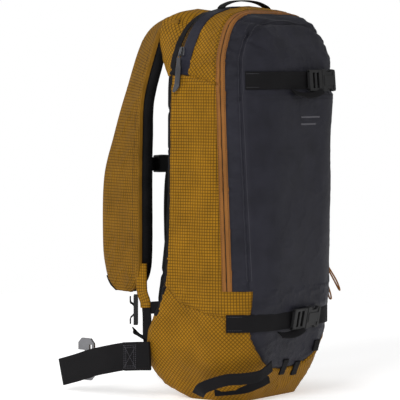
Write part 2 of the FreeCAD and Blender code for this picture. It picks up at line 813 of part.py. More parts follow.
def arch(spots, thickness, y1, y2):
    """A band bent through three points of an XZ arc, wide along Y."""
    left, crown, right = (V(x, y1, z) for x, z in spots)
    lift = V(0, 0, thickness)
    under = Part.Arc(left, crown, right).toShape()
    over = Part.Arc(right + lift, crown + lift, left + lift).toShape()
    sides = [Part.LineSegment(right, right + lift).toShape(), Part.LineSegment(left + lift, left).toShape()]
    return Part.Face(Part.Wire([under, sides[0], over, sides[1]])).extrude(V(0, y2 - y1, 0))


keep_shape("haul_loop", arch([(-58, 559), (0, 567), (58, 559)], 2.0, 17, 29))

ski = ribbon(
    [
        (V(-66, -68, 53), V(0, -1.5, 8.5)),
        (V(-94, -63, 41), V(-1, -3, 8.4)),
        (V(-124, -28, 36), V(-3, -1, 8.5)),
        (V(-131, 4, 24), V(-4, 2, 8)),
        (V(-121, 20, 12), V(-6, 4, 5.5)),
    ],
    size("webbing_thickness"),
)
keep_shape("ski_loop", ski)

tabs = [
    front_slab(-14, 0, 34, 56, 0.4, 3.0),
    front_slab(20, 34, 30, 50, 0.4, 3.4),
    front_slab(58, 72, 62, 78, 0.4, 2.6),
    prism([(back_at(140) + 24.5, 138), (back_at(140) + 24.5, 124), (back_at(124) + 12, 120), (back_at(124) + 12, 130)], -112, -107.5),
]
keep_shape("attachment_tabs", Part.makeCompound(tabs))

# ---------------------------------------------------------------- gas system

GAS_X, GAS_Y = 70.0, 25.0
CARTRIDGE_BOTTOM = 112.0
cartridge_top = CARTRIDGE_BOTTOM + size("cartridge_length")
valve_bottom = cartridge_top + size("neck_length")
flask = rod("flask", placed(GAS_X, GAS_Y, CARTRIDGE_BOTTOM), Radius="sizes.cartridge_radius", Height="sizes.cartridge_length")
doc.recompute()
domed = doc.addObject("Part::Fillet", "flask_domed")
domed.Base = flask
domed.Edges = [(1, 14.0, 14.0), (3, 14.0, 14.0)]
neck = rod("neck", placed(GAS_X, GAS_Y, cartridge_top - 1), Radius="sizes.neck_radius", Height="sizes.neck_length + 1")
keep(plus("flask_and_neck", domed, neck), "cartridge")

valve_top = valve_bottom + size("valve_tall")
valve_block = block(
    "valve_block",
    placed(GAS_X - size("valve_wide") / 2, GAS_Y - size("valve_deep") / 2, valve_bottom),
    Length="sizes.valve_wide",
    Width="sizes.valve_deep",
    Height="sizes.valve_tall",
)
PIVOT_X = GAS_X + 25.0
pivot_z = valve_top + 19.0
ears = []
for number, y in enumerate((GAS_Y - 11.0, GAS_Y + 8.0)):
    ear = doc.addObject("Part::Box", f"ear_{number}")
    ear.Length, ear.Width, ear.Height = 17.0, 3.0, 44.0
    ear.Placement = placed(PIVOT_X - 11.0, y, pivot_z + 5.0 - 44.0)
    ears.append(ear)
valve_body = plus("valve_body", valve_block, *ears)
bore = rod(
    "pin_bore",
    placed(GAS_X, GAS_Y, valve_bottom - 1),
    Radius="sizes.pin_radius + sizes.pin_play",
    Height="sizes.valve_tall + 2",
)
pivot_hole = rod(
    "pivot_hole",
    placed(PIVOT_X, GAS_Y + size("lever_pin_length") / 2, pivot_z, 90, V(1, 0, 0)),
    Radius="sizes.lever_pin_radius",
    Height="sizes.lever_pin_length",
)
keep(minus("valve_drilled", minus("valve_bored", valve_body, bore), pivot_hole), "valve_head")
lever_pin = rod(
    "pivot_rod",
    placed(PIVOT_X, GAS_Y + size("lever_pin_length") / 2, pivot_z, 90, V(1, 0, 0)),
    Radius="sizes.lever_pin_radius",
    Height="sizes.lever_pin_length",
)
keep(lever_pin, "lever_pin")
gauge = rod(
    "gauge_case",
    placed(GAS_X, GAS_Y - size("valve_deep") / 2, valve_bottom + 15, 90, V(1, 0, 0)),
    Radius="sizes.gauge_radius",
    Height="sizes.gauge_length",
)
keep(gauge, "pressure_gauge")

PIN_BOTTOM = valve_bottom + 6.0
pin_top = PIN_BOTTOM + size("pin_length")
shaft = rod("shaft", placed(GAS_X, GAS_Y, PIN_BOTTOM), Radius="sizes.pin_radius", Height="sizes.pin_length")
collar = rod(
    "collar", placed(GAS_X, GAS_Y, pin_top - 6), Radius="sizes.collar_radius", Height="sizes.collar_thickness"
)
keep(plus("shaft_and_collar", shaft, collar), "piercing_pin")
spring_low, spring_high = valve_top + 0.2, pin_top - 6.2
ring_outside = Part.makeCylinder(size("spring_outside"), spring_high - spring_low, V(GAS_X, GAS_Y, spring_low))
ring_inside = Part.makeCylinder(size("spring_inside"), spring_high - spring_low, V(GAS_X, GAS_Y, spring_low))
keep_shape("pin_spring", ring_outside.cut(ring_inside))

LEVER_GAP = 1.5
lever_low = pin_top + LEVER_GAP
lever = solid_box(GAS_X - 5, PIVOT_X + 16, GAS_Y - 7, GAS_Y + 7, lever_low, lever_low + 4.0)
boss = Part.makeCylinder(5.0, 14.0, V(PIVOT_X, GAS_Y - 7, pivot_z), V(0, 1, 0))
hole = Part.makeCylinder(size("lever_pin_radius") + size("pin_play"), 16.0, V(PIVOT_X, GAS_Y - 8, pivot_z), V(0, 1, 0))
keep_shape("release_lever", lever.fuse(boss).cut(hole).removeSplitter())

VENTURI_BOTTOM = 392.0
venturi_x = GAS_X - size("venturi_wide") / 2
venturi_block = block(
    "venturi_block",
    placed(venturi_x, 5, VENTURI_BOTTOM),
    Length="sizes.venturi_wide",
    Width="sizes.venturi_deep",
    Height="sizes.venturi_tall",
)
venturi_room = block(
    "venturi_room",
    placed(venturi_x + size("venturi_wall"), 4, VENTURI_BOTTOM + size("venturi_wall")),
    Length="sizes.venturi_wide - 2 * sizes.venturi_wall",
    Width="sizes.venturi_deep - sizes.venturi_wall",
    Height="sizes.venturi_tall - 2 * sizes.venturi_wall",
)
keep(minus("venturi_shell", venturi_block, venturi_room), "venturi_housing")
flap = block(
    "flap_leaf",
    placed(venturi_x + size("venturi_wall") + 0.5, 9, VENTURI_BOTTOM + size("venturi_wall") + 1),
    Length="sizes.venturi_wide - 2 * sizes.venturi_wall - 1",
    Width="sizes.flap_thickness",
    Height="sizes.venturi_tall - 2 * sizes.venturi_wall - 2",
)
keep(flap, "venturi_flap")

bundle = block(
    "bundle",
    placed(-50, -2, 438.5),
    Length="sizes.bladder_wide",
    Width="sizes.bladder_deep",
    Height="sizes.bladder_tall",
)
doc.recompute()
soft_bundle = doc.addObject("Part::Fillet", "soft_bundle")
soft_bundle.Base = bundle
soft_bundle.Edges = [(number, size("bladder_round"), size("bladder_round")) for number in range(1, 13)]
keep(soft_bundle, "airbag_bladder")

# ---------------------------------------------------------------- write the parts

doc.recompute()
for thing in doc.Objects:
    if "Invalid" in thing.State or "Error" in thing.State:
        raise RuntimeError(f"{thing.Name} failed: {thing.State}")
for thing in parts:
    if thing.Shape.isNull() or not thing.Shape.isValid():
        raise RuntimeError(f"{thing.Label} has no valid shape")
    if any(solid.Volume <= 0 for solid in thing.Shape.Solids):
        raise RuntimeError(f"{thing.Label} is inside out")
    finished = thing.Shape.copy()
    finished.translate(V(0, -BASE_MIDDLE, 0))
    finished.exportStep(f"parts/{thing.Label}.step")
print(len(parts), "parts")
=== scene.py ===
"""Looks of the airbag backpack: fabric, webbing, zips, padding and hardware on the CAD bodies."""

import logging
import math
from dataclasses import dataclass, field
from enum import Enum
from typing import Callable, Dict, List, Optional, Sequence, Tuple

import bmesh
import bpy
import numpy as np
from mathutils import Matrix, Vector, noise
from mathutils.bvhtree import BVHTree


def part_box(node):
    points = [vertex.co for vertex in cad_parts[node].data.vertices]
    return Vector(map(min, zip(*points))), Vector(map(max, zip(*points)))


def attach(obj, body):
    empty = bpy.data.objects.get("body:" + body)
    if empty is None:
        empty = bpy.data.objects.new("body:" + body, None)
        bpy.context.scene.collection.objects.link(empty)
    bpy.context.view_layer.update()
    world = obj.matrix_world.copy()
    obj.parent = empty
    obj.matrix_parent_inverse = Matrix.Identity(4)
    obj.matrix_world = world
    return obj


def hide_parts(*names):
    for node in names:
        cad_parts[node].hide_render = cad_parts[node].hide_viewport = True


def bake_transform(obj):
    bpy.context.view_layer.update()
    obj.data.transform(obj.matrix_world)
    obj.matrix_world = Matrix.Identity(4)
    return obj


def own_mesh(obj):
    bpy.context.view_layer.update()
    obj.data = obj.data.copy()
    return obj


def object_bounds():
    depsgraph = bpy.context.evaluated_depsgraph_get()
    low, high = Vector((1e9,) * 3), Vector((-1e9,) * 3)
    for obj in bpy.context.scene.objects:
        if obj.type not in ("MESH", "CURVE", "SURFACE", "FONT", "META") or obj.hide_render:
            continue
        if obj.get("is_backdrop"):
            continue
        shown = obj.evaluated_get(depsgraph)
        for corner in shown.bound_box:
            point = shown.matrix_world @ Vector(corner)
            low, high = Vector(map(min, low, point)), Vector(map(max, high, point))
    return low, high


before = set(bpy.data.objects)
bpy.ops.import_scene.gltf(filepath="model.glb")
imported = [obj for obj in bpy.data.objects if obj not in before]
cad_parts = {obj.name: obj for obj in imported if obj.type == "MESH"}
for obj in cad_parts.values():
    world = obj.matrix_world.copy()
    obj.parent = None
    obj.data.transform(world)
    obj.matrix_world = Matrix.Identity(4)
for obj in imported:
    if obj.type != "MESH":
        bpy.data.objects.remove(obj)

logging.basicConfig(level=logging.INFO, format="%(name)s: %(message)s")
log = logging.getLogger("backpack")

Point = Tuple[float, float, float]
Station = Tuple[Point, Point]

BASE_MIDDLE = 24.0
ZIP_START = 160.0
ZIP_TOP = 555.0
ZIP_LOW, ZIP_HIGH = -30.0, -18.0
SLIT = 0.6
TAPE = 6.5
GUSSET = -25.5

# Height, half width, back Y, front Y, back corner radius, front corner radius, in millimetres.
RINGS = np.array(
    [
        (0, 84, 72, -24, 22, 32), (20, 98, 104, -36, 22, 44), (60, 119, 119, -54, 20, 62),
        (96, 127, 110, -64, 18, 68), (160, 130, 79, -74, 12, 78), (250, 130, 71, -76, 10, 80),
        (420, 130, 68, -78, 10, 80), (480, 127, 66, -74, 12, 72), (505, 119, 65, -64, 14, 62),
        (530, 105, 61, -48, 18, 46), (546, 84, 55, -30, 20, 32), (555, 50, 42, -10, 18, 20),
    ],
    float,
)
UPPER_SEAM = [(70, 473), (61, 470), (35, 462), (10, 456), (-9, 451), (-20, 448)]
LOWER_SEAM = [(85, 170), (61, 157), (43.5, 140), (21, 134), (0, 128), (-25, 124), (-40, 124)]
LOWER_EDGE = [
    (0, 43), (16, 43.6), (32, 45), (50, 50), (65, 58), (75, 68), (86, 80), (95, 94), (98, 112), (99, 132),
    (99, 160)
]
TOP_SEAM = [(0, 540), (30, 538), (60, 531), (85, 521), (108, 508)]
DART = [(110, 513), (94, 506), (76, 497)]
POCKET_SEAM = 436.0
UPPER_STRAP, LOWER_STRAP = 454.0, 115.0


def metres(point: Sequence[float]) -> Vector:
    """A point of the working frame in the row frame."""
    return Vector((point[0], point[1] - BASE_MIDDLE, point[2])) / 1000.0


def zip_y(height: float) -> float:
    """Y of the front zip's plane at a height."""
    return ZIP_LOW + (height - ZIP_START) * (ZIP_HIGH - ZIP_LOW) / (ZIP_TOP - ZIP_START)


def monotone(xs: np.ndarray, ys: np.ndarray, at: np.ndarray) -> np.ndarray:
    """Smooth curve through points, without overshoot.

    Args:
        xs: Rising positions.
        ys: Values there.
        at: Positions to evaluate.

    Returns:
        The values at those positions.
    """
    gaps = np.diff(xs)
    rises = np.diff(ys) / gaps
    slopes = np.zeros(len(xs))
    slopes[0], slopes[-1] = rises[0], rises[-1]
    for i in range(1, len(xs) - 1):
        if rises[i - 1] * rises[i] > 0:
            a, b = 2 * gaps[i] + gaps[i - 1], gaps[i] + 2 * gaps[i - 1]
            slopes[i] = (a + b) / (a / rises[i - 1] + b / rises[i])
    k = np.clip(np.searchsorted(xs, at) - 1, 0, len(gaps) - 1)
    h = gaps[k]
    t = (at - xs[k]) / h
    return (
        (2 * t**3 - 3 * t**2 + 1) * ys[k]
        + (t**3 - 2 * t**2 + t) * h * slopes[k]
        + (3 * t**2 - 2 * t**3) * ys[k + 1]
        + (t**3 - t**2) * h * slopes[k + 1]
    )


def polyline_distance(points: np.ndarray, line: Sequence[Tuple[float, float]]) -> np.ndarray:
    """Distance of 2-D points from a polyline.

    Args:
        points: (N, 2) positions.
        line: The polyline's corners.

    Returns:
        N distances.
    """
    best = np.full(len(points), 1e9)
    for a, b in zip(line, line[1:]):
        a, b = np.array(a, float), np.array(b, float)
        way = b - a
        t = np.clip(((points - a) @ way) / (way @ way), 0, 1)
        best = np.minimum(best, np.linalg.norm(points - a - t[:, None] * way, axis=1))
    return best


def smooth_path(points: Sequence[Sequence[float]], count: int) -> List[Vector]:
    """Catmull-Rom curve through points, evenly sampled in its own parameter.

    Args:
        points: At least two points.
        count: Number of samples.

    Returns:
        The samples.
    """
    nodes = [Vector(p) for p in points]
    nodes = [2 * nodes[0] - nodes[1]] + nodes + [2 * nodes[-1] - nodes[-2]]
    spans = len(nodes) - 3
    made = []
    for i in range(count):
        at = spans * i / (count - 1)
        k = min(int(at), spans - 1)
        t = at - k
        a, b, c, d = nodes[k : k + 4]
        square, cube = 2 * a - 5 * b + 4 * c - d, 3 * b - a - 3 * c + d
        made.append(0.5 * (2 * b + (c - a) * t + square * t * t + cube * t**3))
    return made


# ------------------------------------------------------------------ shader groups


class Socket(Enum):
    """Socket types of a node group's interface."""

    NUMBER = "NodeSocketFloat"
    VECTOR = "NodeSocketVector"
    GEOMETRY = "NodeSocketGeometry"
    MATERIAL = "NodeSocketMaterial"


@dataclass
class GroupMaker:
    """Builds one shader node group with named sockets."""

    name: str
    inputs: Dict[str, Tuple[Socket, float]]
    outputs: Dict[str, Socket]
    tree: bpy.types.ShaderNodeTree = field(init=False)

    def __post_init__(self) -> None:
        """Make the group, its sockets and its two end nodes."""
        self.tree = bpy.data.node_groups.new(self.name, "ShaderNodeTree")
        for label, (kind, value) in self.inputs.items():
            made = self.tree.interface.new_socket(name=label, in_out="INPUT", socket_type=kind.value)
            if kind is Socket.NUMBER:
                made.default_value = value
        for label, kind in self.outputs.items():
            self.tree.interface.new_socket(name=label, in_out="OUTPUT", socket_type=kind.value)
        self.start = self.tree.nodes.new("NodeGroupInput")
        self.end = self.tree.nodes.new("NodeGroupOutput")

    def math(self, operation: str, *values: object) -> bpy.types.NodeSocket:
        """A Math node.

        Args:
            operation: Blender's name of the operation.
            values: Numbers or sockets.

        Returns:
            Its output.
        """
        node = self.tree.nodes.new("ShaderNodeMath")
        node.operation = operation
        for number, value in enumerate(values):
            if isinstance(value, (int, float)):
                node.inputs[number].default_value = value
            else:
                self.tree.links.new(value, node.inputs[number])
        return node.outputs[0]

    def given(self, label: str) -> bpy.types.NodeSocket:
        """An input of the group."""
        return self.start.outputs[label]

    def give(self, label: str, value: bpy.types.NodeSocket) -> None:
        """Connect an output of the group."""
        self.tree.links.new(value, self.end.inputs[label])


def grid_group() -> bpy.types.ShaderNodeTree:
    """The ripstop grid: thicker threads at a pitch, turned by an angle, in the cloth's own coordinates.

    Returns:
        The shader group.
    """
    maker = GroupMaker(
        "Ripstop grid",
        {
            "Cloth": (Socket.VECTOR, 0.0),
            "Pitch": (Socket.NUMBER, 0.004),
            "Angle": (Socket.NUMBER, 0.0),
            "Line share": (Socket.NUMBER, 0.16),
        },
        {"Lines": Socket.NUMBER},
    )
    turn = maker.tree.nodes.new("ShaderNodeVectorRotate")
    turn.rotation_type = "Z_AXIS"
    maker.tree.links.new(maker.given("Cloth"), turn.inputs["Vector"])
    maker.tree.links.new(maker.given("Angle"), turn.inputs["Angle"])
    parts = maker.tree.nodes.new("ShaderNodeSeparateXYZ")
    maker.tree.links.new(turn.outputs[0], parts.inputs[0])
    masks = []
    for axis in (0, 1):
        steps = maker.math("FRACT", maker.math("DIVIDE", parts.outputs[axis], maker.given("Pitch")))
        away = maker.math("ABSOLUTE", maker.math("SUBTRACT", steps, 0.5))
        edge = maker.math("DIVIDE", away, maker.given("Line share"))
        masks.append(maker.math("SUBTRACT", 1.0, maker.math("MINIMUM", edge, 1.0)))
    maker.give("Lines", maker.math("MAXIMUM", *masks))
    return maker.tree


def thread_group() -> bpy.types.ShaderNodeTree:
    """Warp and weft threads as a height, in the cloth's own coordinates.

    Returns:
        The shader group.
    """
    maker = GroupMaker(
        "Threads",
        {"Cloth": (Socket.VECTOR, 0.0), "Across": (Socket.NUMBER, 0.0006), "Along": (Socket.NUMBER, 0.0006)},
        {"Height": Socket.NUMBER},
    )
    parts = maker.tree.nodes.new("ShaderNodeSeparateXYZ")
    maker.tree.links.new(maker.given("Cloth"), parts.inputs[0])
    waves = []
    for axis, pitch in ((0, "Across"), (1, "Along")):
        turn = maker.math("MULTIPLY", maker.math("DIVIDE", parts.outputs[axis], maker.given(pitch)), math.tau)
        waves.append(maker.math("SINE", turn))
    maker.give("Height", maker.math("MULTIPLY_ADD", maker.math("MULTIPLY", *waves), 0.5, 0.5))
    return maker.tree


def mottle_group() -> bpy.types.ShaderNodeTree:
    """Uneven colour of used cloth and moulded surfaces: broad noise between two factors.

    Returns:
        The shader group.
    """
    maker = GroupMaker(
        "Mottle",
        {"Size": (Socket.NUMBER, 30.0), "Low": (Socket.NUMBER, 0.85), "High": (Socket.NUMBER, 1.1)},
        {"Factor": Socket.NUMBER, "Grain": Socket.NUMBER},
    )
    where = maker.tree.nodes.new("ShaderNodeTexCoord")
    broad = maker.tree.nodes.new("ShaderNodeTexNoise")
    broad.inputs["Detail"].default_value = 5.0
    maker.tree.links.new(where.outputs["Object"], broad.inputs["Vector"])
    maker.tree.links.new(maker.given("Size"), broad.inputs["Scale"])
    spread = maker.tree.nodes.new("ShaderNodeMapRange")
    dial(spread, {"From Min": 0.3, "From Max": 0.7})
    maker.tree.links.new(broad.outputs[0], spread.inputs["Value"])
    maker.tree.links.new(maker.given("Low"), spread.inputs["To Min"])
    maker.tree.links.new(maker.given("High"), spread.inputs["To Max"])
    fine = maker.tree.nodes.new("ShaderNodeTexNoise")
    dial(fine, {"Scale": 1500.0, "Detail": 2.0})
    maker.tree.links.new(where.outputs["Object"], fine.inputs["Vector"])
    maker.give("Factor", spread.outputs[0])
    maker.give("Grain", fine.outputs[0])
    return maker.tree


def dial(node: bpy.types.Node, values: Dict[str, object]) -> None:
    """Set a node's inputs by their names."""
    for label, value in values.items():
        node.inputs[label].default_value = value


class Weave(Enum):
    """How a finish's surface is made."""

    RIPSTOP = "ripstop"
    RIPSTOP_BIAS = "ripstop on the bias"
    PLAIN = "plain weave"
    RIBBED = "ribbed webbing"
    MESH = "spacer mesh"
    MOULDED = "moulded"


@dataclass(frozen=True)
class Finish:
    """One finish: a colour and a surface."""

    name: str
    colour: Tuple[float, float, float]
    weave: Weave
    roughness: float = 0.7
    metallic: float = 0.0
    bump: float = 0.25
    low: float = 0.85
    high: float = 1.12
    line: float = 0.62


@dataclass
class Workshop:
    """Makes the shared groups once, and each finish's material on demand."""

    grid: bpy.types.ShaderNodeTree = field(default_factory=grid_group)
    threads: bpy.types.ShaderNodeTree = field(default_factory=thread_group)
    mottle: bpy.types.ShaderNodeTree = field(default_factory=mottle_group)
    made: Dict[str, bpy.types.Material] = field(default_factory=dict)

    def material(self, finish: Finish) -> bpy.types.Material:
        """The material of a finish.

        Args:
            finish: The finish wanted.

        Returns:
            Its material, built the first time.
        """
        if finish.name not in self.made:
            self.made[finish.name] = self._build(finish)
        return self.made[finish.name]

    def _group(self, tree: bpy.types.NodeTree, group: bpy.types.NodeTree, **values: float) -> bpy.types.Node:
        """Place a node group in a material.

        Args:
            tree: The material's nodes.
            group: The group.
            values: Its inputs' values, with low lines for spaces in their names.

        Returns:
            The group's node.
        """
        node = tree.nodes.new("ShaderNodeGroup")
        node.node_tree = group
        for label, value in values.items():
            node.inputs[label.replace("_", " ")].default_value = value
        return node

    def _build(self, finish: Finish) -> bpy.types.Material:
        """Build a finish's material.

        Args:
            finish: The finish.

        Returns:
            The material.
        """
        material = bpy.data.materials.new(finish.name)
        material.use_nodes = True
        tree = material.node_tree
        shader = next(n for n in tree.nodes if n.type == "BSDF_PRINCIPLED")
        gloss = 0.4 if finish.weave is Weave.MOULDED else 0.12
        dial(
            shader, {"Roughness": finish.roughness, "Metallic": finish.metallic, "Specular IOR Level": gloss}
        )
        cloth = tree.nodes.new("ShaderNodeAttribute")
        cloth.attribute_name = "cloth"
        mottle = self._group(tree, self.mottle, Low=finish.low, High=finish.high)
        tint = tree.nodes.new("ShaderNodeVectorMath")
        tint.operation = "SCALE"
        tint.inputs[0].default_value = finish.colour
        tree.links.new(mottle.outputs["Factor"], tint.inputs["Scale"])
        colour = tint.outputs[0]
        height = mottle.outputs["Grain"]
        if finish.weave in (Weave.RIPSTOP, Weave.RIPSTOP_BIAS):
            angle = math.radians(45) if finish.weave is Weave.RIPSTOP_BIAS else 0.0
            grid = self._group(tree, self.grid, Pitch=0.0042, Angle=angle, Line_share=0.21)
            tree.links.new(cloth.outputs["Vector"], grid.inputs["Cloth"])
            shade = tree.nodes.new("ShaderNodeMapRange")
            dial(shade, {"To Min": 1.0, "To Max": finish.line})
            tree.links.new(grid.outputs["Lines"], shade.inputs["Value"])
            lined = tree.nodes.new("ShaderNodeVectorMath")
            lined.operation = "SCALE"
            tree.links.new(colour, lined.inputs[0])
            tree.links.new(shade.outputs[0], lined.inputs["Scale"])
            colour = lined.outputs[0]
        pitches = {
            Weave.RIPSTOP: (0.0007, 0.0007),
            Weave.RIPSTOP_BIAS: (0.0007, 0.0007),
            Weave.PLAIN: (0.0011, 0.0011),
            Weave.RIBBED: (0.0022, 0.0016),
            Weave.MESH: (0.0030, 0.0030),
        }
        if finish.weave in pitches:
            across, along = pitches[finish.weave]
            threads = self._group(tree, self.threads, Across=across, Along=along)
            tree.links.new(cloth.outputs["Vector"], threads.inputs["Cloth"])
            height = threads.outputs["Height"]
        tree.links.new(colour, shader.inputs["Base Color"])
        bump = tree.nodes.new("ShaderNodeBump")
        dial(bump, {"Strength": finish.bump, "Distance": 0.0004})
        tree.links.new(height, bump.inputs["Height"])
        tree.links.new(bump.outputs[0], shader.inputs["Normal"])
        return material


GOLD = Finish("gold ripstop", (0.30, 0.140, 0.004), Weave.RIPSTOP, roughness=0.66, line=0.18)
GOLD_BIAS = Finish("gold ripstop bias", (0.30, 0.140, 0.004), Weave.RIPSTOP_BIAS, roughness=0.66, line=0.18)
# Darker copy of the gold ripstop for the shoulder straps' pocket cloth: painted shade, since that cloth faces
# away from the lamps.
GOLD_STRAP_PAINTED_SHADE = Finish("gold ripstop strap", (0.225, 0.105, 0.004), Weave.RIPSTOP, roughness=0.7, line=0.26)
GOLD_BINDING = Finish("gold binding", (0.24, 0.115, 0.010), Weave.RIBBED, roughness=0.75, bump=1.0, low=0.7)
CHARCOAL = Finish(
    "charcoal coated cloth", (0.0165, 0.0163, 0.023), Weave.PLAIN, roughness=0.48, bump=0.5, low=0.8,
    high=1.25
)
TAN = Finish("tan zip tape", (0.235, 0.095, 0.022), Weave.PLAIN, roughness=0.55, bump=0.3)
COIL = Finish("dark coil", (0.02, 0.014, 0.01), Weave.MOULDED, roughness=0.45)
BLACK_COIL = Finish("black coil", (0.01, 0.01, 0.011), Weave.MOULDED, roughness=0.4)
SLATE = Finish("slate zip tape", (0.015, 0.015, 0.024), Weave.PLAIN, roughness=0.5)
WEBBING = Finish("black webbing", (0.0062, 0.0058, 0.0066), Weave.RIBBED, roughness=0.75, bump=0.8)
BLACK_CLOTH = Finish("black cloth", (0.006, 0.0056, 0.0062), Weave.PLAIN, roughness=0.8, bump=0.5)
MESH = Finish("spacer mesh", (0.007, 0.0068, 0.0074), Weave.MESH, roughness=0.85, bump=1.0, low=0.6, high=1.3)
LINING = Finish("grey lining", (0.11, 0.11, 0.12), Weave.PLAIN, roughness=0.7)
BLACK_PLASTIC = Finish("black plastic", (0.0035, 0.0035, 0.004), Weave.MOULDED, roughness=0.62, bump=0.12)
BROWN_METAL = Finish(
    "brown slider", (0.16, 0.07, 0.02), Weave.MOULDED, roughness=0.4, metallic=0.4, bump=0.05
)
GREY_METAL = Finish(
    "satin grey metal", (0.22, 0.22, 0.23), Weave.MOULDED, roughness=0.38, metallic=0.85, bump=0.08
)
DARK_METAL = Finish("dark metal", (0.07, 0.07, 0.075), Weave.MOULDED, roughness=0.35, metallic=0.7, bump=0.06)
GREY_RUBBER = Finish("grey rubber", (0.045, 0.045, 0.05), Weave.MOULDED, roughness=0.6, bump=0.5)
TAN_CORD = Finish("tan cord", (0.27, 0.115, 0.03), Weave.MOULDED, roughness=0.75, bump=0.9)
THREAD_DARK = Finish("dark thread", (0.008, 0.0075, 0.009), Weave.MOULDED, roughness=0.8)
THREAD_GOLD = Finish("gold thread", (0.30, 0.15, 0.015), Weave.MOULDED, roughness=0.8)
THREAD_GREY = Finish("grey thread", (0.075, 0.073, 0.085), Weave.MOULDED, roughness=0.8)
RED = Finish("trigger red", (0.45, 0.02, 0.015), Weave.MOULDED, roughness=0.35, bump=0.1)
BLADDER = Finish("bladder cloth", (0.42, 0.03, 0.015), Weave.PLAIN, roughness=0.5)
ALUMINIUM = Finish(
    "anodised aluminium", (0.6, 0.6, 0.62), Weave.MOULDED, roughness=0.35, metallic=0.9, bump=0.05
)
STEEL = Finish("ground steel", (0.55, 0.55, 0.56), Weave.MOULDED, roughness=0.28, metallic=1.0, bump=0.05)
SHEET = Finish("frame sheet", (0.2, 0.2, 0.21), Weave.MOULDED, roughness=0.5)


# ------------------------------------------------------------------ mesh drafts


def cloth_layer(data: bpy.types.Mesh, spots: Sequence[Sequence[float]]) -> None:
    """Store each vertex's place on the flat cloth, in metres, for the materials."""
    layer = data.attributes.new("cloth", "FLOAT_VECTOR", "POINT")
    layer.data.foreach_set("vector", np.array(spots, np.float32).ravel())


@dataclass
class Draft:
    """A mesh being made, in the working frame's millimetres."""

    points: List[Point] = field(default_factory=list)
    faces: List[Tuple[int, ...]] = field(default_factory=list)
    cloth: List[Tuple[float, float]] = field(default_factory=list)

    def ring_skin(
        self, rings: Sequence[Sequence[Vector]], lengths: Sequence[float], girths: Sequence[Sequence[float]]
    ) -> None:
        """Add a closed tube of rings with flat ends.

        Args:
            rings: Rings of equally many points, each counter-clockwise seen from the start.
            lengths: Distance of each ring along the piece.
            girths: Distance of each point round its ring.
        """
        start = len(self.points)
        count = len(rings[0])
        for ring, length, girth in zip(rings, lengths, girths):
            for spot, across in zip(ring, girth):
                self.points.append(tuple(spot))
                self.cloth.append((across, length))
        for r in range(len(rings) - 1):
            for c in range(count):
                a, b = start + r * count + c, start + r * count + (c + 1) % count
                self.faces.append((a, b, b + count, a + count))
        for r, flip in ((0, True), (len(rings) - 1, False)):
            middle = len(self.points)
            self.points.append(tuple(sum((Vector(p) for p in rings[r]), Vector()) / count))
            self.cloth.append((0.0, lengths[r]))
            for c in range(count):
                a, b = start + r * count + c, start + r * count + (c + 1) % count
                self.faces.append((b, a, middle) if flip else (a, b, middle))

    def mesh(self, name: str) -> bpy.types.Mesh:
        """The mesh data in metres.

        Args:
            name: Its name.

        Returns:
            The mesh, with its cloth attribute.
        """
        data = bpy.data.meshes.new(name)
        data.from_pydata([metres(p) for p in self.points], [], self.faces)
        cloth_layer(data, [(u / 1000, v / 1000, 0.0) for u, v in self.cloth])
        data.update()
        return data


def outward(data: bpy.types.Mesh) -> None:
    """Turn a closed mesh's faces outward.

    Args:
        data: The mesh.
    """
    bm = bmesh.new()
    bm.from_mesh(data)
    bmesh.ops.recalc_face_normals(bm, faces=bm.faces)
    bm.to_mesh(data)
    bm.free()


@dataclass
class Kit:
    """Puts finished meshes in the scene, on their bodies."""

    shop: Workshop

    def place(
        self,
        data: bpy.types.Mesh,
        body: str,
        finishes: Sequence[Finish],
        slot: str,
        nodes: Sequence[str] = (),
        smooth: bool = True,
        ride: bool = True,
    ) -> bpy.types.Object:
        """One object on one body.

        Args:
            data: Its mesh, in metres.
            body: The CAD body it moves with.
            finishes: Its materials, in slot order.
            slot: Not used.
            nodes: CAD nodes it replaces.
            smooth: Whether faces are shaded smooth.
            ride: Whether it rides the body now.

        Returns:
            The object.
        """
        name = data.name.replace(" ", "_")
        thing = bpy.data.objects.new(f"{name}_look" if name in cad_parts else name, data)
        bpy.context.scene.collection.objects.link(thing)
        for finish in finishes:
            data.materials.append(self.shop.material(finish))
        data.polygons.foreach_set("use_smooth", [smooth] * len(data.polygons))
        if ride:
            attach(thing, body)
        if nodes:
            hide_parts(*nodes)
        log.info("%s: %d faces on %s", thing.name, len(data.polygons), body)
        return thing

    def drafted(
        self,
        draft: Draft,
        name: str,
        body: str,
        finish: Finish,
        slot: str,
        nodes: Sequence[str] = (),
        ride: bool = True,
    ) -> bpy.types.Object:
        """A draft as one object, with its faces turned outward.

        Args:
            draft: The closed draft.
            name: The object's name.
            body: The CAD body it moves with.
            finish: Its finish.
            slot: The record's material slot.
            nodes: CAD nodes it replaces.
            ride: Whether it rides the body now.

        Returns:
            The object.
        """
        data = draft.mesh(name)
        outward(data)
        return self.place(data, body, [finish], slot, nodes, ride=ride)


# ------------------------------------------------------------------ the bag's surface


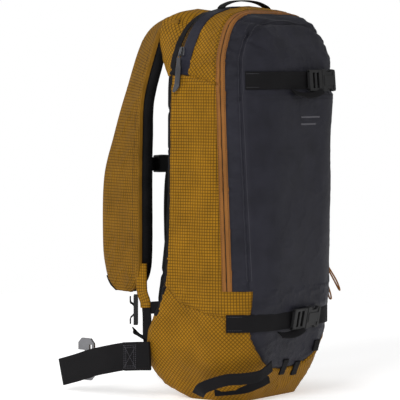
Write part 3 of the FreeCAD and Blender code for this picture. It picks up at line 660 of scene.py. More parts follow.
@dataclass
class Bag:
    """The sewn bag: side, back and base cloth, front panel, zip tapes and lower panel."""

    kit: Kit
    mesh: bmesh.types.BMesh = field(init=False)
    tree: BVHTree = field(init=False)

    def ring(self, sizes: Sequence[float], height: float) -> Tuple[np.ndarray, np.ndarray]:
        """One outline of the bag.

        Args:
            sizes: Half width, back Y, front Y, back and front corner radius.
            height: Z in millimetres.

        Returns:
            Its points and the arc length of each from the side's front end.
        """
        half, back, front, back_round, front_round = sizes
        spots: List[Tuple[float, float]] = []
        for t in np.linspace(0, 1, 22, endpoint=False):
            spots.append((-t * (half - front_round), front))
        for t in np.linspace(0, math.pi / 2, 44, endpoint=False):
            spots.append((
                -(half - front_round) - front_round * math.sin(t),
                front + front_round - front_round * math.cos(t)
            ))
        mark = len(spots)
        for t in np.linspace(0, 1, 24, endpoint=False):
            spots.append((-half, front + front_round + t * (back - back_round - front - front_round)))
        for t in np.linspace(0, math.pi / 2, 8, endpoint=False):
            spots.append((
                -(half - back_round) - back_round * math.cos(t), back - back_round + back_round * math.sin(t)
            ))
        for t in np.linspace(0, 1, 33):
            spots.append((-(half - back_round) * (1 - t), back))
        left = np.array(spots)
        steps = np.concatenate([[0], np.cumsum(np.linalg.norm(np.diff(left, axis=0), axis=1))])
        steps = steps - steps[mark]
        right = left[-2:0:-1] * (-1, 1)
        ring = np.vstack([left, right])
        arc = np.concatenate([steps, steps[-2:0:-1]])
        return np.column_stack([ring, np.full(len(ring), height)]), arc

    def draft(self) -> Draft:
        """The closed, undisplaced surface.

        Returns:
            Its draft.
        """
        heights = np.concatenate([
            np.arange(0, 24, 2.0), np.arange(24, 480, 2.4), np.arange(480, 553, 1.7), [554, 555]
        ])
        columns = [monotone(RINGS[:, 0], RINGS[:, k], heights) for k in range(1, 6)]
        draft = Draft()
        rings, arcs = [], []
        for i, height in enumerate(heights):
            points, arc = self.ring([column[i] for column in columns], height)
            rings.append(points)
            arcs.append(arc)
        for share, lift in ((0.72, 1.6), (0.42, 2.6)):
            middle = np.array([0.0, 16.0, 0.0])
            top = rings[len(heights) - 1]
            rings.append((top - middle) * (share, share, 1) + middle + (0, 0, lift))
            arcs.append(arcs[len(heights) - 1] * share)
        base = []
        for share in (0.5, 0.8):
            middle = np.array([0.0, 24.0, 0.0])
            base.append((rings[0] - middle) * (share, share, 1) + middle)
        rings = base + rings
        arcs = [arcs[0] * 0.5, arcs[0] * 0.8] + arcs
        side = [ring[66] for ring in rings]
        meridian = np.concatenate([[0], np.cumsum([np.linalg.norm(b - a) for a, b in zip(side, side[1:])])])
        count = len(rings[0])
        for ring, arc, climb in zip(rings, arcs, meridian):
            draft.points.extend(map(tuple, ring))
            draft.cloth.extend((a, climb) for a in arc)
        for r in range(len(rings) - 1):
            for c in range(count):
                a, b = r * count + c, r * count + (c + 1) % count
                draft.faces.append((b, a, a + count, b + count))
        for r, spot in ((0, (0.0, 24.0, 0.0)), (len(rings) - 1, (0.0, 16.0, 558.0))):
            pole = len(draft.points)
            draft.points.append(spot)
            draft.cloth.append((0.0, float(meridian[r])))
            for c in range(count):
                a, b = r * count + c, r * count + (c + 1) % count
                draft.faces.append((a, b, pole) if r == 0 else (b, a, pole))
        return draft

    def cut(self, faces: List[bmesh.types.BMFace], place: Vector, normal: Vector) -> None:
        """Cut edges into faces where a plane crosses them."""
        geom = list({v for f in faces for v in f.verts}) + list({e for f in faces for e in f.edges}) + faces
        bmesh.ops.bisect_plane(self.mesh, geom=geom, dist=0.02, plane_co=place, plane_no=normal)

    def score(self, line: Sequence[Tuple[float, float]], axis: int, keep: Callable[[Vector], bool]) -> None:
        """Cut edges into the surface along a line seen along an axis, so that regions end cleanly.

        Args:
            line: Corners: (X, Z) when axis is 1, (Y, Z) when axis is 0.
            axis: The axis that the line is seen along.
            keep: Which face centres may be cut.
        """
        other = 0 if axis == 1 else 1
        for a, b in zip(line, line[1:]):
            low = (min(a[0], b[0]) - 0.4, min(a[1], b[1]) - 0.4)
            high = (max(a[0], b[0]) + 0.4, max(a[1], b[1]) + 0.4)
            faces = []
            for face in self.mesh.faces:
                spots = [v.co for v in face.verts]
                if not keep(face.calc_center_median()):
                    continue
                if max(p[other] for p in spots) < low[0] or min(p[other] for p in spots) > high[0]:
                    continue
                if max(p[2] for p in spots) < low[1] or min(p[2] for p in spots) > high[1]:
                    continue
                faces.append(face)
            if not faces:
                continue
            place = Vector((0, 0, a[1]))
            place[other] = a[0]
            way = Vector((0, 0, b[1] - a[1]))
            way[other] = b[0] - a[0]
            along = Vector((0, 1, 0)) if axis == 1 else Vector((1, 0, 0))
            self.cut(faces, place, way.cross(along))

    def prepare(self) -> None:
        """Build, cut and shape the surface."""
        draft = self.draft()
        data = bpy.data.meshes.new("bag draft")
        data.from_pydata(draft.points, [], draft.faces)
        cloth_layer(data, [(u / 1000, v / 1000, 0.0) for u, v in draft.cloth])
        self.mesh = bmesh.new()
        self.mesh.from_mesh(data)
        bpy.data.meshes.remove(data)
        lean = Vector((0, ZIP_TOP - ZIP_START, ZIP_LOW - ZIP_HIGH)).normalized()
        for offset in (GUSSET, -TAPE, -SLIT, SLIT, TAPE):
            faces = [f for f in self.mesh.faces if f.calc_center_median().z > ZIP_START - 6]
            self.cut(faces, Vector((0, ZIP_LOW + offset, ZIP_START)), lean)
        centres = [(f, f.calc_center_median()) for f in self.mesh.faces]
        faces = [f for f, centre in centres if abs(centre.z - ZIP_START) < 6 and centre.y < -10]
        self.cut(faces, Vector((0, 0, ZIP_START)), Vector((0, 0, 1)))
        for sign in (-1, 1):
            self.score([(sign * x, z) for x, z in LOWER_EDGE], 1, lambda c: c.y < -28)
            for seam in (UPPER_SEAM, LOWER_SEAM):
                self.score(seam, 0, lambda c, s=sign: c.x * s > 60)
        self.shape()
        self.tree = BVHTree.FromBMesh(self.mesh)

    def shape(self) -> None:
        """Push the surface in at its seams and out between them, with folds in the cloth."""
        self.mesh.normal_update()
        self.mesh.verts.ensure_lookup_table()
        where = np.array([v.co for v in self.mesh.verts])
        ways = [v.normal.copy() for v in self.mesh.verts]
        x, y, z = where.T
        side = np.column_stack([y, z])
        front = np.column_stack([np.abs(x), z])
        from_zip = y - zip_y(z)
        move = np.zeros(len(where))

        def groove(distance: np.ndarray, deep: float, wide: float) -> np.ndarray:
            """Depth of a seam's groove, with a soft rise beside it."""
            shoulder = np.exp(-(((distance - 3 * wide) / (2 * wide)) ** 2))
            return -deep * np.exp(-((distance / wide) ** 2)) + 0.45 * deep * shoulder

        on_side = np.abs(x) > 60
        for seam in (UPPER_SEAM, LOWER_SEAM):
            move += np.where(on_side & (from_zip > 2), groove(polyline_distance(side, seam), 1.9, 1.8), 0)
        on_front = (y < -28) & (from_zip < GUSSET + 20)
        above = z > ZIP_START
        move += np.where(above & on_front, groove(np.abs(from_zip - GUSSET), 2.2, 1.8), 0)
        move += np.where(above, groove(np.abs(from_zip - TAPE - 1), 1.1, 1.5) * 0.8, 0)
        move += np.where(above, groove(np.abs(from_zip + TAPE + 1), 1.1, 1.5) * 0.8, 0)
        move += np.where(y < -30, groove(polyline_distance(front, LOWER_EDGE), 1.8, 1.8), 0)
        inside = above & (from_zip < GUSSET)
        move += np.where(inside, groove(polyline_distance(front, DART), 1.6, 1.6), 0)
        move += np.where(inside, groove(polyline_distance(front, TOP_SEAM), 2.6, 2.0), 0)
        step = 2.6 / (1 + np.exp(np.clip((z - POCKET_SEAM) / 0.7, -30, 30))) * np.clip((z - 380) / 50, 0, 1)
        move += np.where(inside, step, 0)
        for strap, low, high in ((UPPER_STRAP, -200, -50), (LOWER_STRAP, -200, -28)):
            squeeze = np.exp(-(((z - strap) / 15) ** 4))
            move += np.where((y > low) & (y < high), -1.1 * squeeze, 0)
        folds = np.zeros(len(where))
        for i, (px, py, pz) in enumerate(where):
            soft = noise.noise(Vector((px / 55, py / 55, pz / 70 + 3.1)))
            ridge = 1 - abs(noise.noise(Vector((px / 34 + 9, py / 34 + 0.012 * pz, pz / 17))) * 2)
            small = noise.noise(Vector((px / 9, py / 9 + 4, pz / 7)))
            cross = 1 - abs(noise.noise(Vector((px / 12 + pz / 30, py / 12 - pz / 34, pz / 40 + 7))) * 2)
            if pz > ZIP_START and py < zip_y(pz) + GUSSET:
                folds[i] = 1.6 * soft + 0.10 * small + 0.4 * max(0.0, ridge - 0.6) * 2
            elif pz > ZIP_START and py < zip_y(pz) - TAPE:
                pleat = noise.noise(Vector((px / 60, py / 18, pz / 6.5)))
                folds[i] = 1.1 * soft + 2.4 * pleat
            else:
                folds[i] = 1.3 * soft + 0.9 * max(
                    0.0, ridge - 0.55
                ) * 2 + 0.16 * small + 0.7 * max(0.0, cross - 0.6) * 2
        near = np.ones(len(where))
        near *= np.where(z < 14, np.clip(z / 14, 0, 1), 1)
        near *= np.where(above & (np.abs(from_zip) < 9), 0.35, 1)
        gather = np.exp(-((polyline_distance(side, LOWER_SEAM) / 22) ** 2)) * np.where(on_side, 1, 0)
        gather += np.exp(-((polyline_distance(side, UPPER_SEAM) / 18) ** 2)) * np.where(on_side, 1, 0)
        near *= 1 + 0.9 * gather
        near *= np.where((z > 470) & (y < 40), 1.5, 1)
        strap_band = (np.abs(z - UPPER_STRAP) < 17) & (y < -50) | (np.abs(z - LOWER_STRAP) < 17) & (y < -28)
        near *= np.where(strap_band, 0.2, 1)
        near *= np.where(above & (from_zip < GUSSET) & (z > 485), 1.7, 1)
        top_zip = polyline_distance(side, [(49, 462), (48, 482), (46, 503), (41, 526), (36, 543), (32, 552)])
        near *= np.where((x < -50) & (top_zip < 18), 0.15, 1)
        move += folds * near
        tight = np.exp(-((np.abs(z - UPPER_STRAP) / 30) ** 2)) * np.where(
            (y < -50) & (np.abs(z - UPPER_STRAP) > 13), 1, 0
        )
        move += tight * np.array([0.9 * noise.noise(Vector((p[0] / 7, p[1] / 7, p[2] / 40))) for p in where])
        move = np.where(z < 0.5, 0, move)
        for vert, way, amount in zip(self.mesh.verts, ways, move):
            vert.co += way * float(amount)
            vert.co.z = max(vert.co.z, 0.0)

    def drop(self, point: Sequence[float], lift: float) -> Tuple[Vector, Vector]:
        """The surface's point nearest to a place, lifted off it."""
        spot, normal, _, _ = self.tree.find_nearest(Vector(point))
        return spot + normal * lift, normal

    def sizes(self, height: float) -> List[float]:
        """Half width, back Y, front Y, back and front corner radius at a height."""
        return [float(monotone(RINGS[:, 0], RINGS[:, k], np.array([height]))[0]) for k in range(1, 6)]

    def on_side(self, y: float, z: float, sign: int) -> Vector:
        """The point on the undisplaced side surface at a Y and a height.

        Args:
            y: Y in millimetres.
            z: Height in millimetres.
            sign: -1 for the wearer's left, 1 for the right.

        Returns:
            The point.
        """
        half, back, front, back_round, front_round = self.sizes(z)
        if y < front + front_round:
            inward = min(front_round, front + front_round - y)
            x = half - front_round + math.sqrt(max(0.0, front_round**2 - inward**2))
        elif y > back - back_round:
            inward = min(back_round, y - back + back_round)
            x = half - back_round + math.sqrt(max(0.0, back_round**2 - inward**2))
        else:
            x = half
        return Vector((sign * x, y, z))

    def on_front(self, x: float, z: float) -> Vector:
        """The point on the undisplaced front surface at an X and a height.

        Args:
            x: X in millimetres.
            z: Height in millimetres.

        Returns:
            The point.
        """
        half, _, front, _, front_round = self.sizes(z)
        over = max(0.0, abs(x) - half + front_round)
        y = front + front_round - math.sqrt(max(0.0, front_round**2 - min(over, front_round) ** 2))
        return Vector((x, y, z))

    def region(self, middle: Vector) -> str:
        """Which piece a face belongs to.

        Args:
            middle: The face's centre.

        Returns:
            The piece's name, or an empty word for the slit.
        """
        if middle.z > ZIP_START:
            away = middle.y - zip_y(middle.z)
            if abs(away) < SLIT:
                return ""
            if away > TAPE:
                return "shell"
            if away > 0:
                return "outer tape"
            return "inner tape" if away > -TAPE else "front"
        if middle.y < -28 and abs(middle.x) < 99 and middle.z > 42:
            edge = np.interp(abs(middle.x), [p[0] for p in LOWER_EDGE[:-2]], [p[1] for p in LOWER_EDGE[:-2]])
            if middle.z > edge:
                return "front"
        return "shell"

    def bias(self, middle: Vector) -> bool:
        """Whether the gold cloth lies on the bias at a face: above the upper seam and below the lower one."""
        if middle.y > zip_y(middle.z) + TAPE - 1 or middle.z < ZIP_START:
            upper = np.interp(
                middle.y, [p[0] for p in reversed(UPPER_SEAM)], [p[1] for p in reversed(UPPER_SEAM)]
            )
            lower = np.interp(
                middle.y, [p[0] for p in reversed(LOWER_SEAM)], [p[1] for p in reversed(LOWER_SEAM)]
            )
            return middle.z > upper or middle.z < lower
        return False

    def back(self, middle: Vector) -> bool:
        """Whether a face is on the black back panel."""
        back, back_round = (float(np.interp(middle.z, RINGS[:, 0], RINGS[:, k])) for k in (2, 4))
        return 120 < middle.z < 512 and middle.y > back - back_round * 0.8

    def pick(self, name: str) -> bpy.types.Mesh:
        """One piece's faces as a mesh in metres.

        Args:
            name: The piece's name.

        Returns:
            The mesh.
        """
        part = self.mesh.copy()
        away = [f for f in part.faces if self.region(f.calc_center_median()) != name]
        bmesh.ops.delete(part, geom=away, context="FACES")
        for face in part.faces:
            middle = face.calc_center_median()
            if name == "shell":
                face.material_index = 2 if self.back(middle) else (1 if self.bias(middle) else 0)
        for vert in part.verts:
            vert.co = metres(vert.co)
        data = bpy.data.meshes.new(name)
        part.to_mesh(data)
        part.free()
        return data

    def thicken(self, thing: bpy.types.Object, thickness: float) -> None:
        """Give a surface a thickness inward, with its lining as the last material.

        Args:
            thing: The object.
            thickness: In metres.
        """
        skin = thing.modifiers.new("thickness", "SOLIDIFY")
        skin.thickness = thickness
        skin.offset = -1
        skin.use_even_offset = False
        skin.material_offset = 9
        graph = bpy.context.evaluated_depsgraph_get()
        made = bpy.data.meshes.new_from_object(thing.evaluated_get(graph))
        made.name = thing.data.name
        thing.modifiers.clear()
        thing.data = made

    def build(self) -> None:
        """Place the bag's pieces."""
        kit = self.kit
        shell = kit.place(
            self.pick("shell"), "pack", [GOLD, GOLD_BIAS, BLACK_CLOTH, LINING], "gold_fabric", ["main_bag"]
        )
        self.thicken(shell, 0.0022)
        outer = kit.place(self.pick("outer tape"), "pack", [TAN], "tan_zip", ["front_zip_outer_tape"])
        self.thicken(outer, 0.0014)
        for name, finishes, slot, nodes, thick in (
            ("front", [CHARCOAL, LINING], "charcoal_fabric", ["front_panel", "lower_front_panel"], 0.0022),
            ("inner tape", [TAN], "tan_zip", ["front_zip_inner_tape"], 0.0014),
        ):
            thing = kit.place(self.pick(name), "front_panel", finishes, slot, nodes, ride=False)
            self.thicken(thing, thick)
            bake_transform(thing)


# ------------------------------------------------------------------ beads along lines


def bead_tree() -> bpy.types.NodeTree:
    """Geometry Nodes tree: rounded beads at a spacing along curves, for stitches and zip coils.

    Returns:
        The tree, with inputs Spacing, Along, Across and Material.
    """
    tree = bpy.data.node_groups.new("Beads along curves", "GeometryNodeTree")
    face = tree.interface
    face.new_socket(name="Geometry", in_out="INPUT", socket_type=Socket.GEOMETRY.value)
    for label in ("Spacing", "Along", "Across"):
        face.new_socket(name=label, in_out="INPUT", socket_type=Socket.NUMBER.value)
    face.new_socket(name="Material", in_out="INPUT", socket_type=Socket.MATERIAL.value)
    face.new_socket(name="Geometry", in_out="OUTPUT", socket_type=Socket.GEOMETRY.value)
    nodes, link = tree.nodes, tree.links.new
    start, end = nodes.new("NodeGroupInput"), nodes.new("NodeGroupOutput")
    spread = nodes.new("GeometryNodeResampleCurve")
    spread.mode = "LENGTH"
    link(start.outputs["Geometry"], spread.inputs["Curve"])
    link(start.outputs["Spacing"], spread.inputs["Length"])
    bead = nodes.new("GeometryNodeMeshIcoSphere")
    dial(bead, {"Radius": 0.5, "Subdivisions": 2})
    tangent = nodes.new("GeometryNodeInputTangent")
    turn = nodes.new("FunctionNodeAlignRotationToVector")
    turn.axis = "Z"
    link(tangent.outputs[0], turn.inputs["Vector"])
    scale = nodes.new("ShaderNodeCombineXYZ")
    link(start.outputs["Across"], scale.inputs[0])
    link(start.outputs["Across"], scale.inputs[1])
    link(start.outputs["Along"], scale.inputs[2])
    spots = nodes.new("GeometryNodeInstanceOnPoints")
    link(spread.outputs[0], spots.inputs["Points"])
    link(bead.outputs["Mesh"], spots.inputs["Instance"])
    link(turn.outputs[0], spots.inputs["Rotation"])
    link(scale.outputs[0], spots.inputs["Scale"])
    real = nodes.new("GeometryNodeRealizeInstances")
    link(spots.outputs[0], real.inputs[0])
    dress = nodes.new("GeometryNodeSetMaterial")
    link(real.outputs[0], dress.inputs["Geometry"])
    link(start.outputs["Material"], dress.inputs["Material"])
    link(dress.outputs[0], end.inputs[0])
    return tree


@dataclass
class Beads:
    """Rows of stitches and zip coils."""

    kit: Kit
    tree: bpy.types.NodeTree = field(default_factory=bead_tree)

    def lay(
        self,
        name: str,
        lines: Sequence[Sequence[Vector]],
        body: str,
        finish: Finish,
        slot: str,
        spacing: float = 3.2,
        along: float = 2.2,
        across: float = 0.7,
        bends: Optional[Tuple[Vector, Vector]] = None,
    ) -> bpy.types.Object:
        """Beads along lines, as one mesh on one body.

        Args:
            name: The object's name.
            lines: Lines in the working frame.
            body: Its body.
            finish: Its finish.
            slot: The record's material slot.
            spacing: Pitch, in millimetres.
            along: Bead's size along the line, in millimetres.
            across: Bead's size across it, in millimetres.
            bends: If given, it is left off its body and fixed where it is; its points are not used.

        Returns:
            The object.
        """
        curve = bpy.data.curves.new(name, "CURVE")
        curve.dimensions = "3D"
        for line in lines:
            spline = curve.splines.new("POLY")
            spline.points.add(len(line) - 1)
            for target, spot in zip(spline.points, line):
                target.co = (*metres(spot), 1.0)
        guide = bpy.data.objects.new(name + " guide", curve)
        bpy.context.scene.collection.objects.link(guide)
        work = guide.modifiers.new("beads", "NODES")
        work.node_group = self.tree
        values = {"Spacing": spacing / 1000, "Along": along / 1000, "Across": across / 1000}
        for item in self.tree.interface.items_tree:
            if item.in_out == "INPUT" and item.name in values:
                work[item.identifier] = values[item.name]
            elif item.in_out == "INPUT" and item.name == "Material":
                work[item.identifier] = self.kit.shop.material(finish)
        graph = bpy.context.evaluated_depsgraph_get()
        made = bpy.data.meshes.new_from_object(guide.evaluated_get(graph), depsgraph=graph)
        bpy.data.objects.remove(guide)
        made.name = name
        made.materials.clear()
        thing = self.kit.place(made, body, [finish], slot, ride=bends is None)
        if bends is not None:
            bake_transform(thing)
        return thing


# ------------------------------------------------------------------ webbing, blocks and tubes


@dataclass
class Strip:
    """A flat woven strip with rounded edges."""

    width: float
    thickness: float

    def rings(
        self, spots: Sequence[Vector], across: Sequence[Vector]
    ) -> Tuple[List[List[Vector]], List[float], List[List[float]]]:
        """Sections of the strip.

        Args:
            spots: Centre points.
            across: Unit vector of the width at each.

        Returns:
            Rings, their distances along, and each point's distance across.
        """
        rings, girths, lengths = [], [], [0.0]
        half, thin = self.width / 2, self.thickness / 2
        section = []
        for corner_x, corner_y, start in ((1, 1, 0), (-1, 1, 90), (-1, -1, 180), (1, -1, 270)):
            for turn in (0, 45, 90):
                angle = math.radians(start + turn)
                section.append(
                    (
                        corner_x * (half - thin * 0.9) + thin * 0.9 * math.cos(angle),
                        corner_y * thin * 0.1 + thin * 0.9 * math.sin(angle)
                    )
                )
        for k in range(1, 4):
            section.insert(2 + k, (half * (1 - k / 2), thin))
        for k in range(1, 4):
            section.insert(11 + k, (-half * (1 - k / 2), -thin))
        for i, (spot, wide) in enumerate(zip(spots, across)):
            ahead = spots[min(i + 1, len(spots) - 1)] - spots[max(i - 1, 0)]
            wide = (wide - ahead.normalized() * wide.dot(ahead.normalized())).normalized()
            thick = ahead.cross(wide).normalized()
            rings.append([spot + wide * a + thick * b for a, b in section])
            girths.append([a for a, _ in section])
            if i:
                lengths.append(lengths[-1] + (spot - spots[i - 1]).length)
        return rings, lengths, girths

    def draft(self, spots: Sequence[Vector], across: Sequence[Vector]) -> Draft:
        """The strip along a line.

        Args:
            spots: Centre points in millimetres.
            across: Unit vectors of the width at them.

        Returns:
            The strip's faces.
        """
        draft = Draft()
        draft.ring_skin(*self.rings(spots, across))
        return draft


@dataclass
class Maker:
    """Simple pieces: webbing, bevelled blocks, round tubes."""

    kit: Kit

    def webbing(
        self,
        name: str,
        stations: Sequence[Station],
        thickness: float,
        body: str,
        nodes: Sequence[str] = (),
        finish: Finish = WEBBING,
        slot: str = "black_webbing",
        count: int = 48,
        bends: Optional[Tuple[str, Point, Point]] = None,
    ) -> bpy.types.Object:
        """A strip of webbing through stations of a centre and a half width vector.

        Args:
            name: Its name.
            stations: Centre and half width vector, in millimetres.
            thickness: In millimetres.
            body: Its body.
            nodes: CAD nodes it replaces.
            finish: Its finish.
            slot: The record's material slot.
            count: Number of sections.
            bends: If given, the strip is left off its body and fixed where it is; the body and points in it
                are not used.

        Returns:
            The object.
        """
        spots = smooth_path([s[0] for s in stations], count)
        halves = smooth_path([s[1] for s in stations], count)
        strip = Strip(2 * sum(h.length for h in halves) / count, thickness)
        draft = strip.draft(spots, [h.normalized() for h in halves])
        thing = self.kit.drafted(draft, name, body, finish, slot, nodes, ride=bends is None)
        if bends is not None:
            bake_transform(thing)
        return thing

    def blocks(
        self,
        name: str,
        pieces: Sequence[Tuple[Sequence[Tuple[float, float]], float, float]],
        place: Callable[[float, float, float], Vector],
        body: str,
        nodes: Sequence[str] = (),
        finish: Finish = BLACK_PLASTIC,
        slot: str = "black_plastic",
        bevel: float = 0.7,
    ) -> bpy.types.Object:
        """Outlines raised from one depth to another, with rounded edges.

        Args:
            name: Its name.
            pieces: (outline, low, high): outline corners (a, b) in millimetres.
            place: Maps (a, b, depth) to the working frame.
            body: Its body.
            nodes: CAD nodes it replaces.
            finish: Its finish.
            slot: The record's material slot.
            bevel: Edge rounding, in millimetres.

        Returns:
            The object.
        """
        whole = bmesh.new()
        for outline, low, high in pieces:
            bm = bmesh.new()
            floor = [bm.verts.new((a, b, low)) for a, b in outline]
            roof = [bm.verts.new((a, b, high)) for a, b in outline]
            bm.faces.new(list(reversed(floor)))
            bm.faces.new(roof)
            for k in range(len(outline)):
                j = (k + 1) % len(outline)
                bm.faces.new((floor[k], floor[j], roof[j], roof[k]))
            bmesh.ops.recalc_face_normals(bm, faces=bm.faces)
            bmesh.ops.bevel(
                bm, geom=list(bm.edges), offset=min(bevel, 0.4 * (high - low)), segments=2, profile=0.6,
                affect="EDGES"
            )
            part = bpy.data.meshes.new("part")
            bm.to_mesh(part)
            bm.free()
            whole.from_mesh(part)
            bpy.data.meshes.remove(part)
        for vert in whole.verts:
            vert.co = metres(place(*vert.co))
        bmesh.ops.recalc_face_normals(whole, faces=whole.faces)
        data = bpy.data.meshes.new(name)
        whole.to_mesh(data)
        whole.free()
        cloth_layer(data, [v.co for v in data.vertices])
        return self.kit.place(data, body, [finish], slot, nodes, smooth=False)

    def tube(
        self,
        name: str,
        lines: Sequence[Sequence[Vector]],
        radius: float,
        body: str,
        nodes: Sequence[str] = (),
        finish: Finish = BLACK_CLOTH,
        slot: str = "black_webbing",
        sides: int = 10,
    ) -> bpy.types.Object:
        """Round tubes along lines, for piping and binding.

        Args:
            name: Its name.
            lines: Lines in the working frame.
            radius: In millimetres.
            body: Its body.
            nodes: CAD nodes it replaces.
            finish: Its finish.
            slot: The record's material slot.
            sides: Points round each section.

        Returns:
            The object.
        """
        draft = Draft()
        for line in lines:
            rings, girths, lengths = [], [], [0.0]
            side = Vector((0.31, 0.17, 0.93))
            for i, spot in enumerate(line):
                ahead = (line[min(i + 1, len(line) - 1)] - line[max(i - 1, 0)]).normalized()
                side = (side - ahead * side.dot(ahead)).normalized()
                other = ahead.cross(side)
                around = [k * math.tau / sides for k in range(sides)]
                rings.append([spot + (side * math.cos(t) + other * math.sin(t)) * radius for t in around])
                girths.append([t * radius for t in around])
                if i:
                    lengths.append(lengths[-1] + (spot - line[i - 1]).length)
            draft.ring_skin(rings, lengths, girths)
        return self.kit.drafted(draft, name, body, finish, slot, nodes)


# ------------------------------------------------------------------ sub-assemblies


@dataclass
class FrontZip:
    """The front zip's coil, sliders, pull cords and the stitching beside it."""

    bag: Bag
    maker: Maker
    beads: Beads

    def line(self, offset: float, lift: float, low: float = ZIP_START + 1) -> List[Vector]:
        """A line along the zip, up one side, over the top and down the other.

        Args:
            offset: Distance behind the zip's plane, in millimetres.
            lift: Height above the cloth.
            low: Height of its ends.

        Returns:
            The points.
        """
        rise = []
        for z in np.arange(low, 540, 4.0):
            rise.append(self.bag.on_side(zip_y(z) + offset, float(z), -1))
        over = [Vector((x, zip_y(556) + offset, 600)) for x in np.arange(-96, 97, 4.0)]
        dropped = []
        for spot in over:
            hit, _, _, _ = self.bag.tree.ray_cast(spot, Vector((0, 0, -1)))
            if hit is not None:
                hit = Vector((hit.x, zip_y(hit.z) + offset, hit.z))
                dropped.append(self.bag.drop(hit, lift)[0])
        left = [self.bag.drop(p, lift)[0] for p in rise]
        left = [p for p in left if p.x < dropped[0].x - 1 or p.z < dropped[0].z - 3]
        right = [self.bag.drop(Vector((-p.x, p.y, p.z)), lift)[0] for p in reversed(rise)]
        right = [p for p in right if p.x > dropped[-1].x + 1 or p.z < dropped[-1].z - 3]
        return left + dropped + right

    def slider(self, name: str, height: float) -> None:
        """A slider: body with two plates, bridge and neck.

        Args:
            name: upper or lower.
            height: Its middle's height.
        """
        low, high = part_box(f"front_slider_{name}")
        x = low.x * 1000
        y = (low.y + high.y) * 500 + BASE_MIDDLE
        outline = [
            (-3.2, -6.5), (3.2, -6.5), (4.8, 1.5), (4.8, 6.5), (1.4, 6.8), (-1.4, 6.8), (-4.8, 6.5),
            (-4.8, 1.5)
        ]
        bridge = [(-1.3, -5.2), (1.3, -5.2), (1.3, 5.2), (-1.3, 5.2)]
        neck = [(-1.3, 3.0), (1.3, 3.0), (1.3, 5.2), (-1.3, 5.2)]
        foot = [(-1.3, -5.2), (1.3, -5.2), (1.3, -3.4), (-1.3, -3.4)]
        self.maker.blocks(
            f"slider {name}",
            [(outline, 0.0, 1.8), (neck, 1.2, 4.4), (foot, 1.2, 4.4), (bridge, 3.4, 4.9)],
            lambda a, b, c: Vector((x + c, y + a, height + b)),
            f"front_slider_{name}",
            [f"front_slider_{name}"],
            BROWN_METAL,
            "brown_slider",
            bevel=0.5,
        )

    def pull(self, name: str, route: Sequence[Point], length: float) -> None:
        """A thin cord doubled back on itself.

        Args:
            name: upper or lower.
            route: Its route in the working frame.
            length: Its real length in metres.
        """
        curve = bpy.data.curves.new(f"pull cord {name}", "CURVE")
        curve.dimensions = "3D"
        curve.bevel_depth = 0.0012
        curve.bevel_resolution = 3
        curve.use_fill_caps = True
        curve.resolution_u = 16
        line = curve.splines.new("NURBS")
        line.points.add(len(route) - 1)
        for target, spot in zip(line.points, route):
            target.co = (*metres(spot), 1.0)
        line.order_u = 3
        line.use_endpoint_u = True
        curve.materials.append(self.maker.kit.shop.material(TAN_CORD))
        thing = bpy.data.objects.new(f"pull_cord_{name}", curve)
        bpy.context.scene.collection.objects.link(thing)
        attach(thing, f"front_pull_{name}")
        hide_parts(f"front_pull_cord_{name}")
        log.info("%s: %.3f m", thing.name, length)

    def build(self) -> None:
        """Place the zip's pieces."""
        coil = self.line(0, -1.3)
        self.beads.lay("front zip coil", [coil], "pack", COIL, "tan_zip", 1.5, 0.9, 2.4)
        rows = [self.line(TAPE + 2.0, 0.1), self.line(TAPE - 1.6, 0.1)]
        self.beads.lay("tape stitches", rows, "pack", THREAD_DARK, "gold_fabric", 3.0, 2.0, 0.55)
        rows = [self.line(-TAPE - 2.0, 0.1, ZIP_START + 14), self.line(-TAPE + 1.6, 0.1, ZIP_START + 14)]
        self.beads.lay(
            "inner tape stitches", rows, "front_panel", THREAD_DARK, "charcoal_fabric", 3.0, 2.0, 0.55
        )
        rows = [self.line(GUSSET - 2.2, 0.2, ZIP_START + 16), self.line(GUSSET + 2.2, 0.2, ZIP_START + 16)]
        self.beads.lay("gusset stitches", rows, "front_panel", THREAD_GREY, "charcoal_fabric", 3.0, 2.0, 0.6)
        self.slider("upper", 190.0)
        self.slider("lower", 166.0)
        upper = [(135, -27, 187), (143, -31, 173), (151, -36, 157), (157, -39.5, 144.5), (154, -45, 141.5)]
        upper += [(149, -42.5, 156), (141, -36.5, 172), (135, -31.5, 184)]
        lower = [
            (135, -26, 163), (138.5, -28.5, 151), (140, -32, 139), (140, -34.5, 131), (138, -39.5, 130.5)
        ]
        lower += [(137.5, -38, 139), (136.5, -34.5, 150), (134.5, -30.5, 160)]
        self.pull("upper", upper, 0.099)
        self.pull("lower", lower, 0.066)


